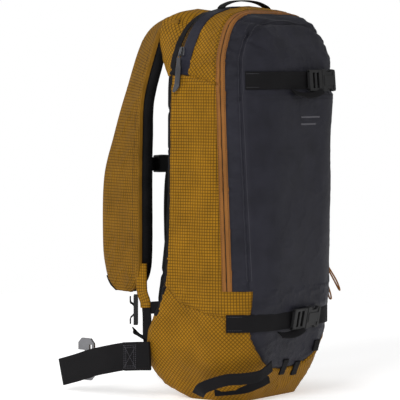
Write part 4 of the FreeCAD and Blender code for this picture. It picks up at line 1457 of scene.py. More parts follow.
@dataclass
class PanelDetails:
    """Seams, pocket edges and bound lines of the bag's panels."""

    bag: Bag
    maker: Maker
    beads: Beads

    def side_line(
        self, seam: Sequence[Tuple[float, float]], shift: float, sign: int, lift: float
    ) -> List[Vector]:
        """A line along a side seam.

        Args:
            seam: (Y, Z) corners.
            shift: Distance above the seam.
            sign: -1 for the left side, 1 for the right.
            lift: Height above the cloth.

        Returns:
            The points.
        """
        path = smooth_path([Vector((y, z + shift, 0)) for y, z in seam], 36)
        return [
            self.bag.drop(self.bag.on_side(p.x, p.y, sign), lift)[0] for p in path
            if p.x > zip_y(p.y) + TAPE + 2 or p.y < ZIP_START
        ]

    def front_line(self, seam: Sequence[Tuple[float, float]], shift: float, lift: float) -> List[Vector]:
        """A line along a front seam, from left to right.

        Args:
            seam: (X, Z) corners of its right half.
            shift: Distance above the seam.
            lift: Height above the cloth.

        Returns:
            The points.
        """
        half = smooth_path([Vector((x, z + shift, 0)) for x, z in seam], 40)
        whole = [Vector((-p.x, p.y, 0)) for p in reversed(half[1:])] + half
        return [self.bag.drop(self.bag.on_front(p.x, p.y), lift)[0] for p in whole]

    def build(self) -> None:
        """Place the seams' threads and bindings."""
        lines = []
        for sign in (-1, 1):
            for seam in (UPPER_SEAM, LOWER_SEAM):
                lines += [self.side_line(seam, 2.4, sign, 0.1), self.side_line(seam, -2.4, sign, 0.1)]
        self.beads.lay("side seam stitches", lines, "pack", THREAD_GOLD, "gold_fabric", 3.0, 2.0, 0.55)
        low = [(x * 0.965, z + 2.4) for x, z in LOWER_EDGE[:-1]]
        self.beads.lay(
            "lower panel stitches", [self.front_line(low, 0, 0.1)], "pack", THREAD_DARK, "charcoal_fabric",
            3.0, 2.0, 0.6
        )
        rows = [self.front_line(TOP_SEAM, 2.4, 0.15), self.front_line(TOP_SEAM, -2.4, 0.15)]
        pocket = [(0, POCKET_SEAM), (40, POCKET_SEAM), (80, POCKET_SEAM), (104, POCKET_SEAM)]
        rows += [self.front_line(pocket, -3.0, 0.2), self.front_line(pocket, -8.0, 0.2)]
        self.beads.lay(
            "front panel stitches", rows, "front_panel", THREAD_DARK, "charcoal_fabric", 3.0, 2.0, 0.6
        )
        for mark, (x1, x2, z) in {"high": (-8, 44, 402.0), "low": (-8, 34, 392.0)}.items():
            spots = [self.bag.drop(self.bag.on_front(x, z), 0.25)[0] for x in np.arange(x1, x2, 2.0)]
            draft = Strip(2.6, 0.5).draft(spots, [Vector((0, 0, 1))] * len(spots))
            self.maker.kit.drafted(draft, f"plain bar {mark}", "front_panel", THREAD_GREY, "charcoal_fabric")


@dataclass
class Compression:
    """The two compression straps and their side-release buckles."""

    bag: Bag
    maker: Maker
    beads: Beads

    def band(
        self, name: str, height: float, x1: float, x2: float, y_end: Optional[float], body: str, side: str
    ) -> None:
        """One side's webbing, laid on the bag.

        Args:
            name: upper or lower.
            height: The strap's height.
            x1: Where it starts, in X.
            x2: Where it ends.
            y_end: The Y that its sewn end reaches on the bag's side.
            body: Its body.
            side: left or right.
        """
        sign = -1 if side == "left" else 1
        sewn = self.bag.on_side(y_end, height, sign)
        spots = []
        for t in np.linspace(0, 1, 60):
            x = x1 + (x2 - x1) * t
            spots.append(self.bag.on_front(x, height))
        edge = [p for p in spots if p.y < y_end]
        path = [sewn] + edge if side == "left" else edge + [sewn]
        lifted = [self.bag.drop(p, 1.5)[0] for p in path]
        lifted = [Vector((p.x, p.y, height)) for p in lifted]
        for _ in range(3):
            lifted = [lifted[0]] + [
                (a + 2 * b + c) / 4 for a, b, c in zip(lifted, lifted[1:], lifted[2:])
            ] + [lifted[-1]]
        draft = Strip(25.0, 1.8).draft(lifted, [Vector((0, 0, 1))] * len(lifted))
        self.maker.kit.drafted(
            draft, f"{name} strap {side}", body, WEBBING, "black_webbing", [f"{name}_strap_{side}"]
        )
        rows = []
        for shift in (-9.5, 9.5):
            near = lifted[1:7] if side == "left" else lifted[-7:-1]
            rows.append([
                p + Vector((0, 0, shift)) + (p - Vector((0, 0, height))).normalized() * 0.9 for p in near
            ])
        self.beads.lay(f"{name} strap {side} tack", rows, body, THREAD_GREY, "black_webbing", 2.6, 1.8, 0.6)

    def buckle(self, name: str, height: float, mouth: float, body: str, prong_body: str) -> None:
        """A side-release buckle: body with pinched sides, prong with a ladder.

        Args:
            name: upper or lower.
            height: The strap's height.
            mouth: X of the body's mouth.
            body: The body's body.
            prong_body: The prong's body.
        """
        front = self.bag.on_front(0, height).y
        tilt = (self.bag.on_front(0, height + 10).y - self.bag.on_front(0, height - 10).y) / 20

        def place(a: float, b: float, c: float) -> Vector:
            """A buckle's point on the panel, c proud of it."""
            return Vector((a, front + tilt * b - c, height + b))

        end = mouth + 33
        shell = [
            (mouth, -15.5), (mouth + 7, -16), (mouth + 11, -11.5), (mouth + 21, -11.5), (mouth + 26, -16),
            (end, -15)
        ]
        shell += [
            (end, 15), (mouth + 26, 16), (mouth + 21, 11.5), (mouth + 11, 11.5), (mouth + 7, 16),
            (mouth, 15.5)
        ]
        ridge = [(mouth + 3, -7), (end - 6, -7), (end - 6, 7), (mouth + 3, 7)]
        step = [(end - 6.5, -13), (end - 1.5, -13), (end - 1.5, 13), (end - 6.5, 13)]
        self.maker.blocks(
            f"{name} buckle body", [(shell, 3.0, 9.6), (ridge, 9.2, 10.5), (step, 9.2, 10.7)], place, body,
            [f"{name}_buckle_body"], bevel=1.0,
        )
        start = mouth - 33
        arms = []
        for side in (-1, 1):
            arm = [
                (mouth - 2, side * 9.5), (mouth + 9, side * 11.2), (mouth + 12, side * 14.4),
                (mouth + 20, side * 14.4)
            ]
            arm += [
                (mouth + 19, side * 12.2), (mouth + 13, side * 11), (mouth + 9, side * 8.2),
                (mouth - 2, side * 6.8)
            ]
            arms.append((arm, 4.2, 7.4))
        rails = [
            ([(start, s * 15), (mouth - 1, s * 15), (mouth - 1, s * 11), (start, s * 11)], 3.6, 8.6)
            for s in (-1, 1)
        ]
        bars = [
            ([(start + x, -14), (start + x + w, -14), (start + x + w, 14), (start + x, 14)], low, high)
            for x, w, low, high in ((0, 7.5, 3.7, 9.0), (13.5, 5.5, 4.0, 8.4), (24.5, 8, 3.7, 9.0))
        ]
        rails = [(o if s > 0 else list(reversed(o)), a, b) for (o, a, b), s in zip(rails, (-1, 1))]
        self.maker.blocks(
            f"{name} buckle prong", rails + bars + arms, place, prong_body, [f"{name}_buckle_prong"],
            bevel=0.8
        )

    def tail(self, name: str, height: float, mouth: float, body: str) -> None:
        """The strap's free end, threaded through the ladder and hanging below it.

        Args:
            name: upper or lower.
            height: The strap's height.
            mouth: X of the body's mouth.
            body: The prong's body.
        """
        front = self.bag.on_front(0, height - 18).y
        start = mouth - 16
        spots = [
            (start + 12, -9.0, -13), (start, -10.0, -17), (start - 14, -10.5, -20), (start - 30, -9.5, -21),
            (start - 46, -8.0, -19)
        ]
        if name == "upper":
            spots += [(start - 60, -7.0, -16)]
        ways = [(0, 3.0, 6.0), (0, 4.5, 5.0), (0, 5.5, 4.0), (0, 5.5, 3.6), (0, 5.5, 4.0), (0, 5.0, 4.5)]
        stations = [((x, front + y, height + z), way) for (x, y, z), way in zip(spots, ways)]
        self.maker.webbing(f"{name} strap free end", stations, 1.6, body, count=50)

    def build(self) -> None:
        """Place both straps."""
        for name, height, mouth, body, left_end, right_end in (
            ("upper", UPPER_STRAP, 39.0, "front_panel", -51.5, -36.0),
            ("lower", LOWER_STRAP, 12.0, "pack", -28.0, -34.0),
        ):
            self.band(name, height, -128, mouth - 17, left_end, body, "left")
            self.band(name, height, mouth + 33.3, 128, right_end, body, "right")
            self.buckle(name, height, mouth, body, f"{name}_buckle_prong")
            self.tail(name, height, mouth, f"{name}_buckle_prong")


@dataclass
class TopZip:
    """The curved zip beside the left shoulder, its slider and long pull."""

    bag: Bag
    maker: Maker
    beads: Beads

    def strip(
        self, name: str, centre: Sequence[Point], width: float, lift: float, finish: Finish,
        nodes: Sequence[str] = ()
    ) -> List[Vector]:
        """A tape laid on the cloth.

        Args:
            name: Its name.
            centre: Points near its middle line.
            width: In millimetres.
            lift: Height above the cloth.
            finish: Its finish.
            nodes: CAD nodes it replaces.

        Returns:
            Its middle line.
        """
        path = smooth_path([Vector(p) for p in centre], 60)
        spots, across = [], []
        hits = [self.bag.drop(p, lift) for p in path]
        for i, (spot, normal) in enumerate(hits):
            ahead = (hits[min(i + 1, 59)][0] - hits[max(i - 1, 0)][0]).normalized()
            spots.append(spot)
            across.append(normal.cross(ahead).normalized())
        for _ in range(2):
            spots = [spots[0]] + [
                (a + 2 * b + c) / 4 for a, b, c in zip(spots, spots[1:], spots[2:])
            ] + [spots[-1]]
        draft = Strip(width, 1.2).draft(spots, across)
        self.maker.kit.drafted(draft, name, "pack", finish, "slate_tape", nodes)
        return spots

    def build(self) -> None:
        """Place the tapes, coil, slider and pull."""
        outer = [
            (-127, 57.5, 462), (-124, 56.5, 482), (-120, 54, 503), (-108, 49, 526), (-90, 43, 543),
            (-68, 37, 552), (-44, 33, 557)
        ]
        inner = [
            (-128, 38.5, 462), (-125, 37, 482), (-120.5, 34.5, 503), (-108, 31, 526), (-90, 27, 543),
            (-68, 24, 552), (-44, 22, 557), (-26, 21, 559)
        ]
        middle = [
            (-127, 49.2, 462), (-124, 48.2, 482), (-120, 45.8, 503), (-108, 41.5, 526), (-90, 36.5, 543),
            (-68, 32, 552), (-44, 28.5, 557)
        ]
        self.strip("top zip outer tape", outer, 11.0, 0.5, WEBBING)
        self.strip("top zip inner tape", inner, 18.0, 0.5, SLATE, ["top_zip_tape"])
        spots = [self.bag.drop(p, 0.3)[0] for p in smooth_path([Vector(p) for p in middle], 60)]
        self.beads.lay("top zip coil", [spots], "pack", BLACK_COIL, "slate_tape", 1.7, 1.0, 3.2)
        low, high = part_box("top_slider")
        centre = (low + high) * 500 + Vector((0, BASE_MIDDLE, 0))
        slope = math.atan2(8, 25)
        up = Vector((math.sin(slope), 0, math.cos(slope)))
        out = Vector((-math.cos(slope), 0, math.sin(slope)))
        body = [(-3.2, 6.5), (-4.8, -1.5), (-4.8, -6.5), (4.8, -6.5), (4.8, -1.5), (3.2, 6.5)]
        bridge = [(-1.5, -5), (1.5, -5), (1.5, 5), (-1.5, 5)]
        self.maker.blocks(
            "top slider",
            [(body, -2.3, -0.6), (bridge, -0.8, 2.2)],
            lambda a, b, c: centre + Vector((0, 1, 0)) * a + up * b + out * c,
            "top_slider",
            ["top_slider"],
            DARK_METAL,
            "grey_metal",
            bevel=0.5,
        )
        low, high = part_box("top_pull")
        x = (low.x + high.x) * 500
        y = (low.y + high.y) * 500 + BASE_MIDDLE
        top = high.z * 1000
        grip = [
            (-3.0, 0), (3.0, 0), (3.2, -9), (4.2, -14), (5.2, -36), (8.5, -47), (6.2, -49), (1.5, -46),
            (-2.6, -40), (-4.2, -14), (-3.2, -9)
        ]
        pieces = [(grip, -1.0, 1.0)]
        for k in range(9):
            z = -13.5 - 2.6 * k
            pieces.append(([(-2.6, z), (3.6, z), (3.6, z - 1.3), (-2.6, z - 1.3)], 0.6, 1.5))
        loop = [[
            Vector((x - 0.4, y + 1.8 * math.cos(t), top + 0.6 + 1.9 * math.sin(t)))
            for t in np.linspace(0, math.tau, 25)
        ]]
        self.maker.blocks(
            "top pull", pieces, lambda a, b, c: Vector((
                x - c + 0.06 * b, y + a, top + b
            )), "top_pull", ["top_pull"],
            GREY_RUBBER, "grey_rubber", bevel=0.5,
        )
        self.maker.tube("top pull link", loop, 0.6, "top_pull", finish=DARK_METAL, slot="grey_metal")


@dataclass
class Harness:
    """Back pad, shoulder straps, chest strap and the tails that pull them in."""

    bag: Bag
    maker: Maker
    beads: Beads
    rows: Sequence[Tuple[Point, Point, Point, float, float]] = (
        ((-106, 63, 541), (-42, 63, 546), (0, 0, -1), 8, 12),
        ((-108, 92, 531), (-48, 112, 548), (0.15, -0.30, -0.94), 8, 13),
        ((-112, 103, 503), (-66, 152, 519), (0.62, -0.55, -0.55), 9, 14),
        ((-118, 121, 432), (-80, 178, 436), (0.88, -0.42, -0.20), 11, 14),
        ((-119, 124, 370), (-85, 198, 372), (0.93, -0.36, 0), 16, 11),
        ((-118, 126, 310), (-84, 217, 310), (0.94, -0.34, 0), 18, 10),
        ((-118, 126, 219), (-84, 219, 219), (0.94, -0.34, 0), 18, 10),
        ((-117, 128, 181), (-85, 213, 181), (0.94, -0.34, 0), 17, 9),
        ((-112, 138, 160), (-90, 200, 160), (0.94, -0.34, 0), 14, 7),
        ((-108, 150, 150), (-96, 182, 150), (0.94, -0.34, 0), 9, 4),
    )

    def layers(self, count: int) -> Tuple[List[Vector], List[Vector], List[Vector], List[float], List[float]]:
        """The strap's rows, smoothly filled in.

        Args:
            count: How many rows.

        Returns:
            Arm edges, chest edges, inward directions, outer and inner thicknesses.
        """
        arms = smooth_path([r[0] for r in self.rows], count)
        chests = smooth_path([r[1] for r in self.rows], count)
        inwards = [v.normalized() for v in smooth_path([Vector(r[2]).normalized() for r in self.rows], count)]
        depths = smooth_path([(r[3], r[4], 0) for r in self.rows], count)
        return arms, chests, inwards, [d.x for d in depths], [d.y for d in depths]

    def meeting(self, share: float, depth: float) -> float:
        """How deep the gold layer reaches: thin at the arm edge, where the padding wraps round."""
        rise = min(1.0, share / 0.3)
        return 2.4 + (depth - 2.4) * rise * rise * (3 - 2 * rise)

    def layer(self, outer: bool, flip: float) -> Draft:
        """One layer of a shoulder strap.

        Args:
            outer: The gold pocket layer, or the padding.
            flip: 1 for the left strap, -1 for the right.

        Returns:
            Its draft.
        """
        count = 150
        arms, chests, inwards, outs, ins = self.layers(count)
        rings, girths, lengths = [], [], [0.0]
        across = np.concatenate([
            [0, 0.012, 0.03, 0.06, 0.1], np.linspace(0.15, 0.85, 22), [0.9, 0.94, 0.97, 0.988, 1]
        ])
        for i, (arm, chest, inward, thick_out, thick_in) in enumerate(zip(arms, chests, inwards, outs, ins)):
            wide = chest - arm
            ring, girth = [], []
            for t in across:
                edge = math.sqrt(max(0.0, 1 - abs(2 * t - 1) ** 7))
                spot = arm + wide * t
                ripple = noise.noise(spot / 26 + Vector((0, 0, 3)))
                crease = max(
                    0.0,
                    1 - abs(noise.noise(Vector((spot.x / 40, spot.y / 40, spot.z / 16 + 3.5 * t))) * 2) - 0.55
                )
                meet = self.meeting(t, thick_out)
                if outer:
                    depth = meet * (
                        0.72 if t < 0.5 else 0.30
                    ) * (1 - edge) - (1.2 * math.sin(math.pi * t) + 1.6 * ripple + 3.4 * crease) * edge
                else:
                    depth = meet + 0.05
                ring.append(spot + inward * depth)
                girth.append(t * wide.length)
            for t in reversed(across[1:-1]):
                edge = math.sqrt(max(0.0, 1 - abs(2 * t - 1) ** 7))
                spot = arm + wide * t
                meet = self.meeting(t, thick_out)
                full = thick_out + thick_in
                lumps = 0.5 * noise.noise(spot / 14) * edge
                depth = meet - 0.05 if outer else meet + (full - meet) * (0.8 + 0.2 * edge) + lumps
                ring.append(spot + inward * depth)
                girth.append(t * wide.length)
            rings.append([Vector((p.x * flip, p.y, p.z)) for p in ring])
            girths.append(girth)
            if i:
                lengths.append(lengths[-1] + ((arm + chest) / 2 - (arms[i - 1] + chests[i - 1]) / 2).length)
        draft = Draft()
        draft.ring_skin(rings, lengths, girths)
        return draft

    def edge(
        self, name: str, chest: bool, flip: float, width: float, finish: Finish, first: int = 0,
        last: int = 120
    ) -> None:
        """A woven binding along one edge of a strap.

        Args:
            name: Its name.
            chest: The chest edge, or the arm edge.
            flip: 1 for the left strap, -1 for the right.
            width: In millimetres.
            finish: Its finish.
            first: The first of the strap's 120 rows that it covers.
            last: The row after the last.
        """
        arms, chests, inwards, outs, _ = (column[first:last] for column in self.layers(120))
        spots, across = [], []
        for arm, far, inward, depth in zip(arms, chests, inwards, outs):
            out = (arm - far).normalized() * (-1 if chest else 1)
            spot = (far if chest else arm) + out * 0.5 + inward * (2.6 if not chest else depth * 0.34)
            spots.append(Vector((spot.x * flip, spot.y, spot.z)))
            across.append(Vector((inward.x * flip, inward.y, inward.z)))
        draft = Strip(width, 1.5).draft(spots, across)
        self.maker.kit.drafted(draft, name, "pack", finish, "black_webbing")

    def shoulder(self, side: str) -> None:
        """One shoulder strap.

        Args:
            side: left or right.
        """
        kit = self.maker.kit
        flip = 1.0 if side == "left" else -1.0
        pocket, padding = self.layer(True, flip), self.layer(False, flip)
        # The pocket cloth takes the darker gold copy, which is painted shade.
        kit.drafted(
            pocket, f"strap pocket {side}", "pack", GOLD_STRAP_PAINTED_SHADE, "gold_fabric", [f"strap_pocket_{side}"]
        )
        replaced = [f"shoulder_strap_{side}"]
        thing = kit.drafted(padding, f"strap padding {side}", "pack", MESH, "black_mesh", replaced)
        self.edge(f"strap arm binding {side}", False, flip, 6.0, GOLD_BINDING)
        self.edge(f"strap chest binding {side}", True, flip, 5.0, GOLD_BINDING, 0, 100)
        self.edge(f"strap foot binding {side}", True, flip, 9.0, BLACK_CLOTH, 99, 120)
        arms, chests, inwards, _, _ = self.layers(120)
        seam = [arms[i].lerp(chests[i], 0.14) - inwards[i] * 1.2 for i in range(20, 112)]
        self.beads.lay(
            f"strap stitches {side}", [[Vector((p.x * flip, p.y, p.z)) for p in seam]], "pack", THREAD_DARK,
            "gold_fabric", 3.0, 2.0, 0.55
        )
        gather = [
            ((-112.5 * flip, 125, 192), (0, 11, 0)), ((-112.5 * flip, 125, 172), (0, 11, -1)),
            ((-111.5 * flip, 124.5, 152), (1, 9.5, 0)), ((-111 * flip, 119.5, 138), (1, 7.5, 0)),
            ((-111 * flip, 118.5, 129), (1, 6.5, 0)),
        ]
        self.maker.webbing(f"strap anchor {side}", gather, 6.0, "pack", finish=GOLD, slot="gold_fabric")
        foot = [
            ((-111 * flip, 118, 133), (1, 6.5, 0)), ((-111 * flip, 116.5, 118), (1, 7.5, 0)),
            ((-111.5 * flip, 115.5, 102), (0.5, 8, -1)), ((-114 * flip, 113, 87), (0, 9, -3)),
            ((-117 * flip, 108, 78), (0, 9, -4)),
        ]
        foot = [(spot, (wide[0] * flip, wide[1], wide[2])) for spot, wide in foot]
        self.maker.webbing(f"strap foot webbing {side}", foot, 2.2, "pack", count=50)
        tail = [
            ((-104 * flip, 144, 96), (8.2 * flip, 5.7, 0)), ((-105 * flip, 138, 90), (9.6 * flip, 4, 0)),
            ((-110 * flip, 126, 86), (9 * flip, 1, -2)), ((-114 * flip, 115, 82), (8 * flip, 0, -3)),
        ]
        self.maker.webbing(f"strap tail {side}", tail, 1.8, "pack", [f"strap_tail_{side}"], count=50)
        turn = math.radians(35)
        out = Vector((math.sin(turn) * flip, -math.cos(turn), 0))
        wide = Vector((math.cos(turn) * 9.4 * flip, math.sin(turn) * 9.4, 0))
        middle = Vector((-104 * flip, 145, 124))
        threaded = [(-5.0, 19), (-4.6, 11), (-1.0, 8), (3.8, 0), (-1.0, -8), (-4.6, -12), (-4.8, -20)]
        stations = [(tuple(middle + out * a + Vector((0, 0, b))), tuple(wide)) for a, b in threaded]
        self.maker.webbing(f"lock webbing {side}", stations, 1.6, f"ladder_lock_{side}", count=60)

    def yoke(self, side: str) -> None:
        """The gold cloth that closes the corner between the bag's side, the pad and the strap.

        Args:
            side: left or right.
        """
        flip = 1 if side == "left" else -1
        outer = [
            (-62, 62, 556), (-92, 74, 550), (-107, 90, 538), (-110, 94, 518), (-110, 92, 498),
            (-113, 84, 478), (-124, 70, 460)
        ]
        inner = [
            (-58, 36, 557), (-84, 43, 550), (-104, 50, 536), (-117, 55, 515), (-124, 58, 496),
            (-129, 61, 478), (-131, 66, 460)
        ]
        inner = [tuple(self.bag.drop(p, -0.6)[0]) for p in inner]
        count = 46
        rings, girths, lengths = [], [], []
        edges = zip(smooth_path(outer, count), smooth_path(inner, count))
        for i, (far, near) in enumerate(edges):
            wide = near - far
            away = Vector((wide.y, -wide.x, 0)).normalized()
            away = away if away.x < 0 else -away
            ring, girth = [], []
            for t in np.linspace(0, 1, 14):
                spot = far + wide * t
                bulge = 2.2 * math.sin(math.pi * t) + 1.6 * noise.noise(spot / 13)
                ring.append(spot + away * (bulge + 0.4))
                girth.append(t * wide.length)
            for t in np.linspace(1, 0, 14):
                spot = far + wide * t
                ring.append(spot - away * 2.2)
                girth.append(t * wide.length)
            rings.append([Vector((p.x * flip, p.y, p.z)) for p in ring])
            girths.append(girth)
            lengths.append(i * 2.3)
        draft = Draft()
        draft.ring_skin(rings, lengths, girths)
        self.maker.kit.drafted(draft, f"yoke {side}", "pack", GOLD_BIAS, "gold_fabric")

    def pad(self) -> None:
        """The moulded back pad, with a channel down its middle and cross grooves."""
        outside = np.array(
            [(104, 127), (110, 144), (106, 176), (97, 250), (93, 320), (93, 436), (85, 490), (74, 509)], float
        )
        heights = np.linspace(127, 509, 150)
        faces = monotone(outside[:, 1], outside[:, 0], heights)
        inner = [float(np.interp(z, RINGS[:, 0], RINGS[:, 2])) + 0.4 for z in heights]
        across = np.concatenate([
            [-1, -0.99, -0.97, -0.94], np.linspace(-0.9, 0.9, 61), [0.94, 0.97, 0.99, 1]
        ])
        rings, girths, lengths = [], [], []
        for z, out, back in zip(heights, faces, inner):
            end = min(1.0, (z - 127) / 9, (509 - z) / 9)
            ring, girth = [], []
            for t in across:
                edge = (1 - abs(t) ** 14) ** 0.5 * math.sqrt(max(0.0, 1 - (1 - end) ** 2))
                x = 106 * t * (0.97 + 0.03 * math.sqrt(max(0.0, 1 - (1 - end) ** 2)))
                channel = 5.0 * math.exp(-((x / 13) ** 4))
                away = 1 - math.exp(-((x / 20) ** 4))
                cross = 3.2 * math.exp(-((((z - 150) % 58 - 29) / 4.0) ** 2)) * away
                side = 2.4 * math.exp(-(((abs(x) - 58) / 3.5) ** 2))
                depth = (out - back - channel - cross - side) * max(0.18, edge)
                ring.append(Vector((x, back + max(1.2, depth), z)))
                girth.append(x)
            for t in reversed(across[1:-1]):
                ring.append(Vector((106 * t, back, z)))
                girth.append(106 * t)
            rings.append(ring)
            girths.append(girth)
            lengths.append(z)
        draft = Draft()
        draft.ring_skin(rings, lengths, girths)
        thing = self.maker.kit.drafted(draft, "back pad", "pack", MESH, "black_mesh", ["back_panel_pad"])

    def sternum(self) -> None:
        """The chest strap: webbing, sliders on the straps' edges, and a small buckle."""
        for side, x1, x2, sign in (("left", -56.5, -14.0, -1), ("right", 34.0, 56.5, 1)):
            stations = [((x1 + (x2 - x1) * t, 170, 331), (0, 0, 10)) for t in (0, 0.35, 0.7, 1)]
            body = f"sternum_{side}"
            self.maker.webbing(f"chest webbing {side}", stations, 1.8, body, [f"sternum_strap_{side}"])
            x = -64.5 if sign < 0 else 56.5
            frame_outline = [(0, -11), (8, -11), (8, 11), (0, 11)]
            bar = [(1.6, -9), (6.4, -9), (6.4, 9), (1.6, 9)]
            self.maker.blocks(
                f"chest slider {side}",
                [(frame_outline, -9.0, 5.5), (bar, 5.0, 9.0)],
                lambda a, b, c, x=x: Vector((x + a, 170 + c, 331 + b)),
                body,
                [f"sternum_slider_{side}"],
                bevel=1.0,
            )
        case = [(-14, -12.5), (6, -13), (12, -11), (12, 11), (6, 13), (-14, 12.5)]
        self.maker.blocks(
            "chest buckle body", [(case, -6.0, 6.0)], lambda a, b, c: Vector((
                a, 170 + c, 331 + b
            )), "sternum_left",
            ["sternum_buckle_body"], bevel=1.4,
        )
        bars = [
            ([(12.5, -12), (19, -12), (19, 12), (12.5, 12)], 1.6, 5.6),
            ([(29, -12), (34, -12), (34, 12), (29, 12)], 1.6, 5.6)
        ]
        bars += [
            (
                [(13, s * 8), (34, s * 8), (34, s * 12), (13, s * 12)] if s > 0
                else [(13, -12), (34, -12), (34, -8), (13, -8)], 1.6, 5.4
            )
            for s in (-1, 1)
        ]
        self.maker.blocks(
            "chest buckle prong", bars, lambda a, b, c: Vector((a, 170 + c, 331 + b)), "sternum_prong",
            ["sternum_buckle_prong"], bevel=0.8,
        )

    def build(self) -> None:
        """Place the harness."""
        self.pad()
        for side in ("left", "right"):
            self.shoulder(side)
            self.yoke(side)
        self.sternum()


@dataclass
class HipBelt:
    """Belt webbing with its sewn roots; the hook and ring keep their exact CAD form."""

    maker: Maker
    beads: Beads

    def build(self) -> None:
        """Place both sides."""
        for side, flip in (("left", 1), ("right", -1)):
            root = [
                ((-127.4 * flip, 99, 62), (0, 0, 20.6)), ((-130.3 * flip, 117, 61), (0, 0, 20.6)),
                ((-133 * flip, 141, 59), (0, 0, 20.4)),
            ]
            self.maker.webbing(f"belt root {side}", root, 5.6, "pack", [f"belt_root_{side}"])
            run = [
                ((-131.9 * flip, 129, 60.4), (0, 0, 19.6)), ((-133.2 * flip, 143.2, 58.8), (0, 0, 19.8)),
                ((-134.4 * flip, 166, 54.0), (0, 0, 20)), ((-131 * flip, 198, 46.5), (0, 0, 20)),
                ((-126.5 * flip, 232, 36), (0, 0, 20)), ((-121 * flip, 264.5, 27), (0, 0, 20)),
            ]
            bends = ("pack", (-133 * flip, 136, 60), (-134 * flip, 150, 57.5))
            self.maker.webbing(
                f"belt webbing {side}", run, 2.5, f"belt_{side}", [f"belt_{side}"], count=70, bends=bends
            )
            box = []
            for inset in (0.0, 3.0):
                corners = [
                    (120 + inset, 44 + inset), (139 - inset, 43 + inset), (139 - inset, 75 - inset),
                    (120 + inset, 77 - inset)
                ]
                corners.append(corners[0])
                for (a, b), (c, d) in zip(corners, corners[1:]):
                    box.append([
                        self.on_root(a + (c - a) * t, b + (d - b) * t, flip) for t in np.linspace(0, 1, 12)
                    ])
            box.append([self.on_root(120 + 19 * t, 44 + 31 * t, flip) for t in np.linspace(0, 1, 14)])
            box.append([self.on_root(139 - 19 * t, 44 + 31 * t, flip) for t in np.linspace(0, 1, 14)])
            self.beads.lay(
                f"belt box stitch {side}", box, "pack", THREAD_GREY, "black_webbing", 2.6, 1.8, 0.7
            )

    def on_root(self, y: float, z: float, flip: float) -> Vector:
        """A point on the root's outer face."""
        x = np.interp(y, [99, 117, 141], [-127.4, -130.3, -133])
        return Vector(((x - 3.0) * flip, y, z))


@dataclass
class Loops:
    """Haul loop, ski loop and the small tabs."""

    bag: Bag
    maker: Maker

    def build(self) -> None:
        """Place the loops."""
        arch = [
            ((-60, 23, 556.5), (0, 6, 0)), ((-52, 23, 561.0), (0, 6, 0)), ((-30, 23, 566.2), (0, 6, 0)),
            ((0, 23, 568), (0, 6, 0))
        ]
        arch += [((-x, y, z), w) for (x, y, z), w in reversed(arch[:-1])]
        bends = ("pack", (0, 23, 559.5), (0, 23, 563.5))
        self.maker.webbing("haul loop", arch, 2.0, "haul_loop", ["haul_loop"], count=80, bends=bends)
        ski = [
            ((-66, -68, 53), (0, -1.5, 8.5)), ((-80, -67, 47), (0, -2.5, 8.5)),
            ((-94, -63, 41), (-1, -3, 8.4)), ((-110, -48, 38), (-2, -2, 8.5)),
            ((-124, -28, 36), (-3, -1, 8.5)), ((-131, 4, 24), (-4, 2, 8)), ((-121, 20, 12), (-6, 4, 5.5)),
        ]
        self.maker.webbing("ski loop", ski, 1.8, "ski_loop", ["ski_loop"], count=70)
        tabs = [(-14, 0, 34, 56), (20, 34, 30, 50), (58, 72, 62, 78)]
        pieces = []
        for x1, x2, z1, z2 in tabs:
            low = self.bag.on_front(0, z1).y
            high = self.bag.on_front(0, z2).y
            x, across = (x1 + x2) / 2, ((x2 - x1) / 2, 0, 0)
            line = [(x, low - 2.2, z1), (x, (low + high) / 2 - 2.0, (z1 + z2) / 2), (x, high - 1.8, z2)]
            pieces.append([(spot, across) for spot in line])
        names = ["attachment_tabs"]
        for number, stations in enumerate(pieces):
            self.maker.webbing(f"tab {number}", stations, 2.2, "pack", names, count=14)
            names = []
        for side, flip in (("left", 1), ("right", -1)):
            tab = [
                ((-110.6 * flip, 93, 131), (0, 0, 9)), ((-110.6 * flip, 102, 130), (0, 0, 9)),
                ((-110.6 * flip, 112, 129), (0, 0, 8))
            ]
            self.maker.webbing(f"tab {side}", tab, 2.4, "pack", count=14)
        second = [(-38, 33), (-58, 27), (-80, 21), (-98, 14)]
        spots = [self.bag.drop(self.bag.on_front(x, z), 1.2)[0] for x, z in second]
        self.maker.webbing(
            "lower loop webbing", [(tuple(p), (1.0, 0, 7.5)) for p in spots], 1.8, "pack", count=50
        )


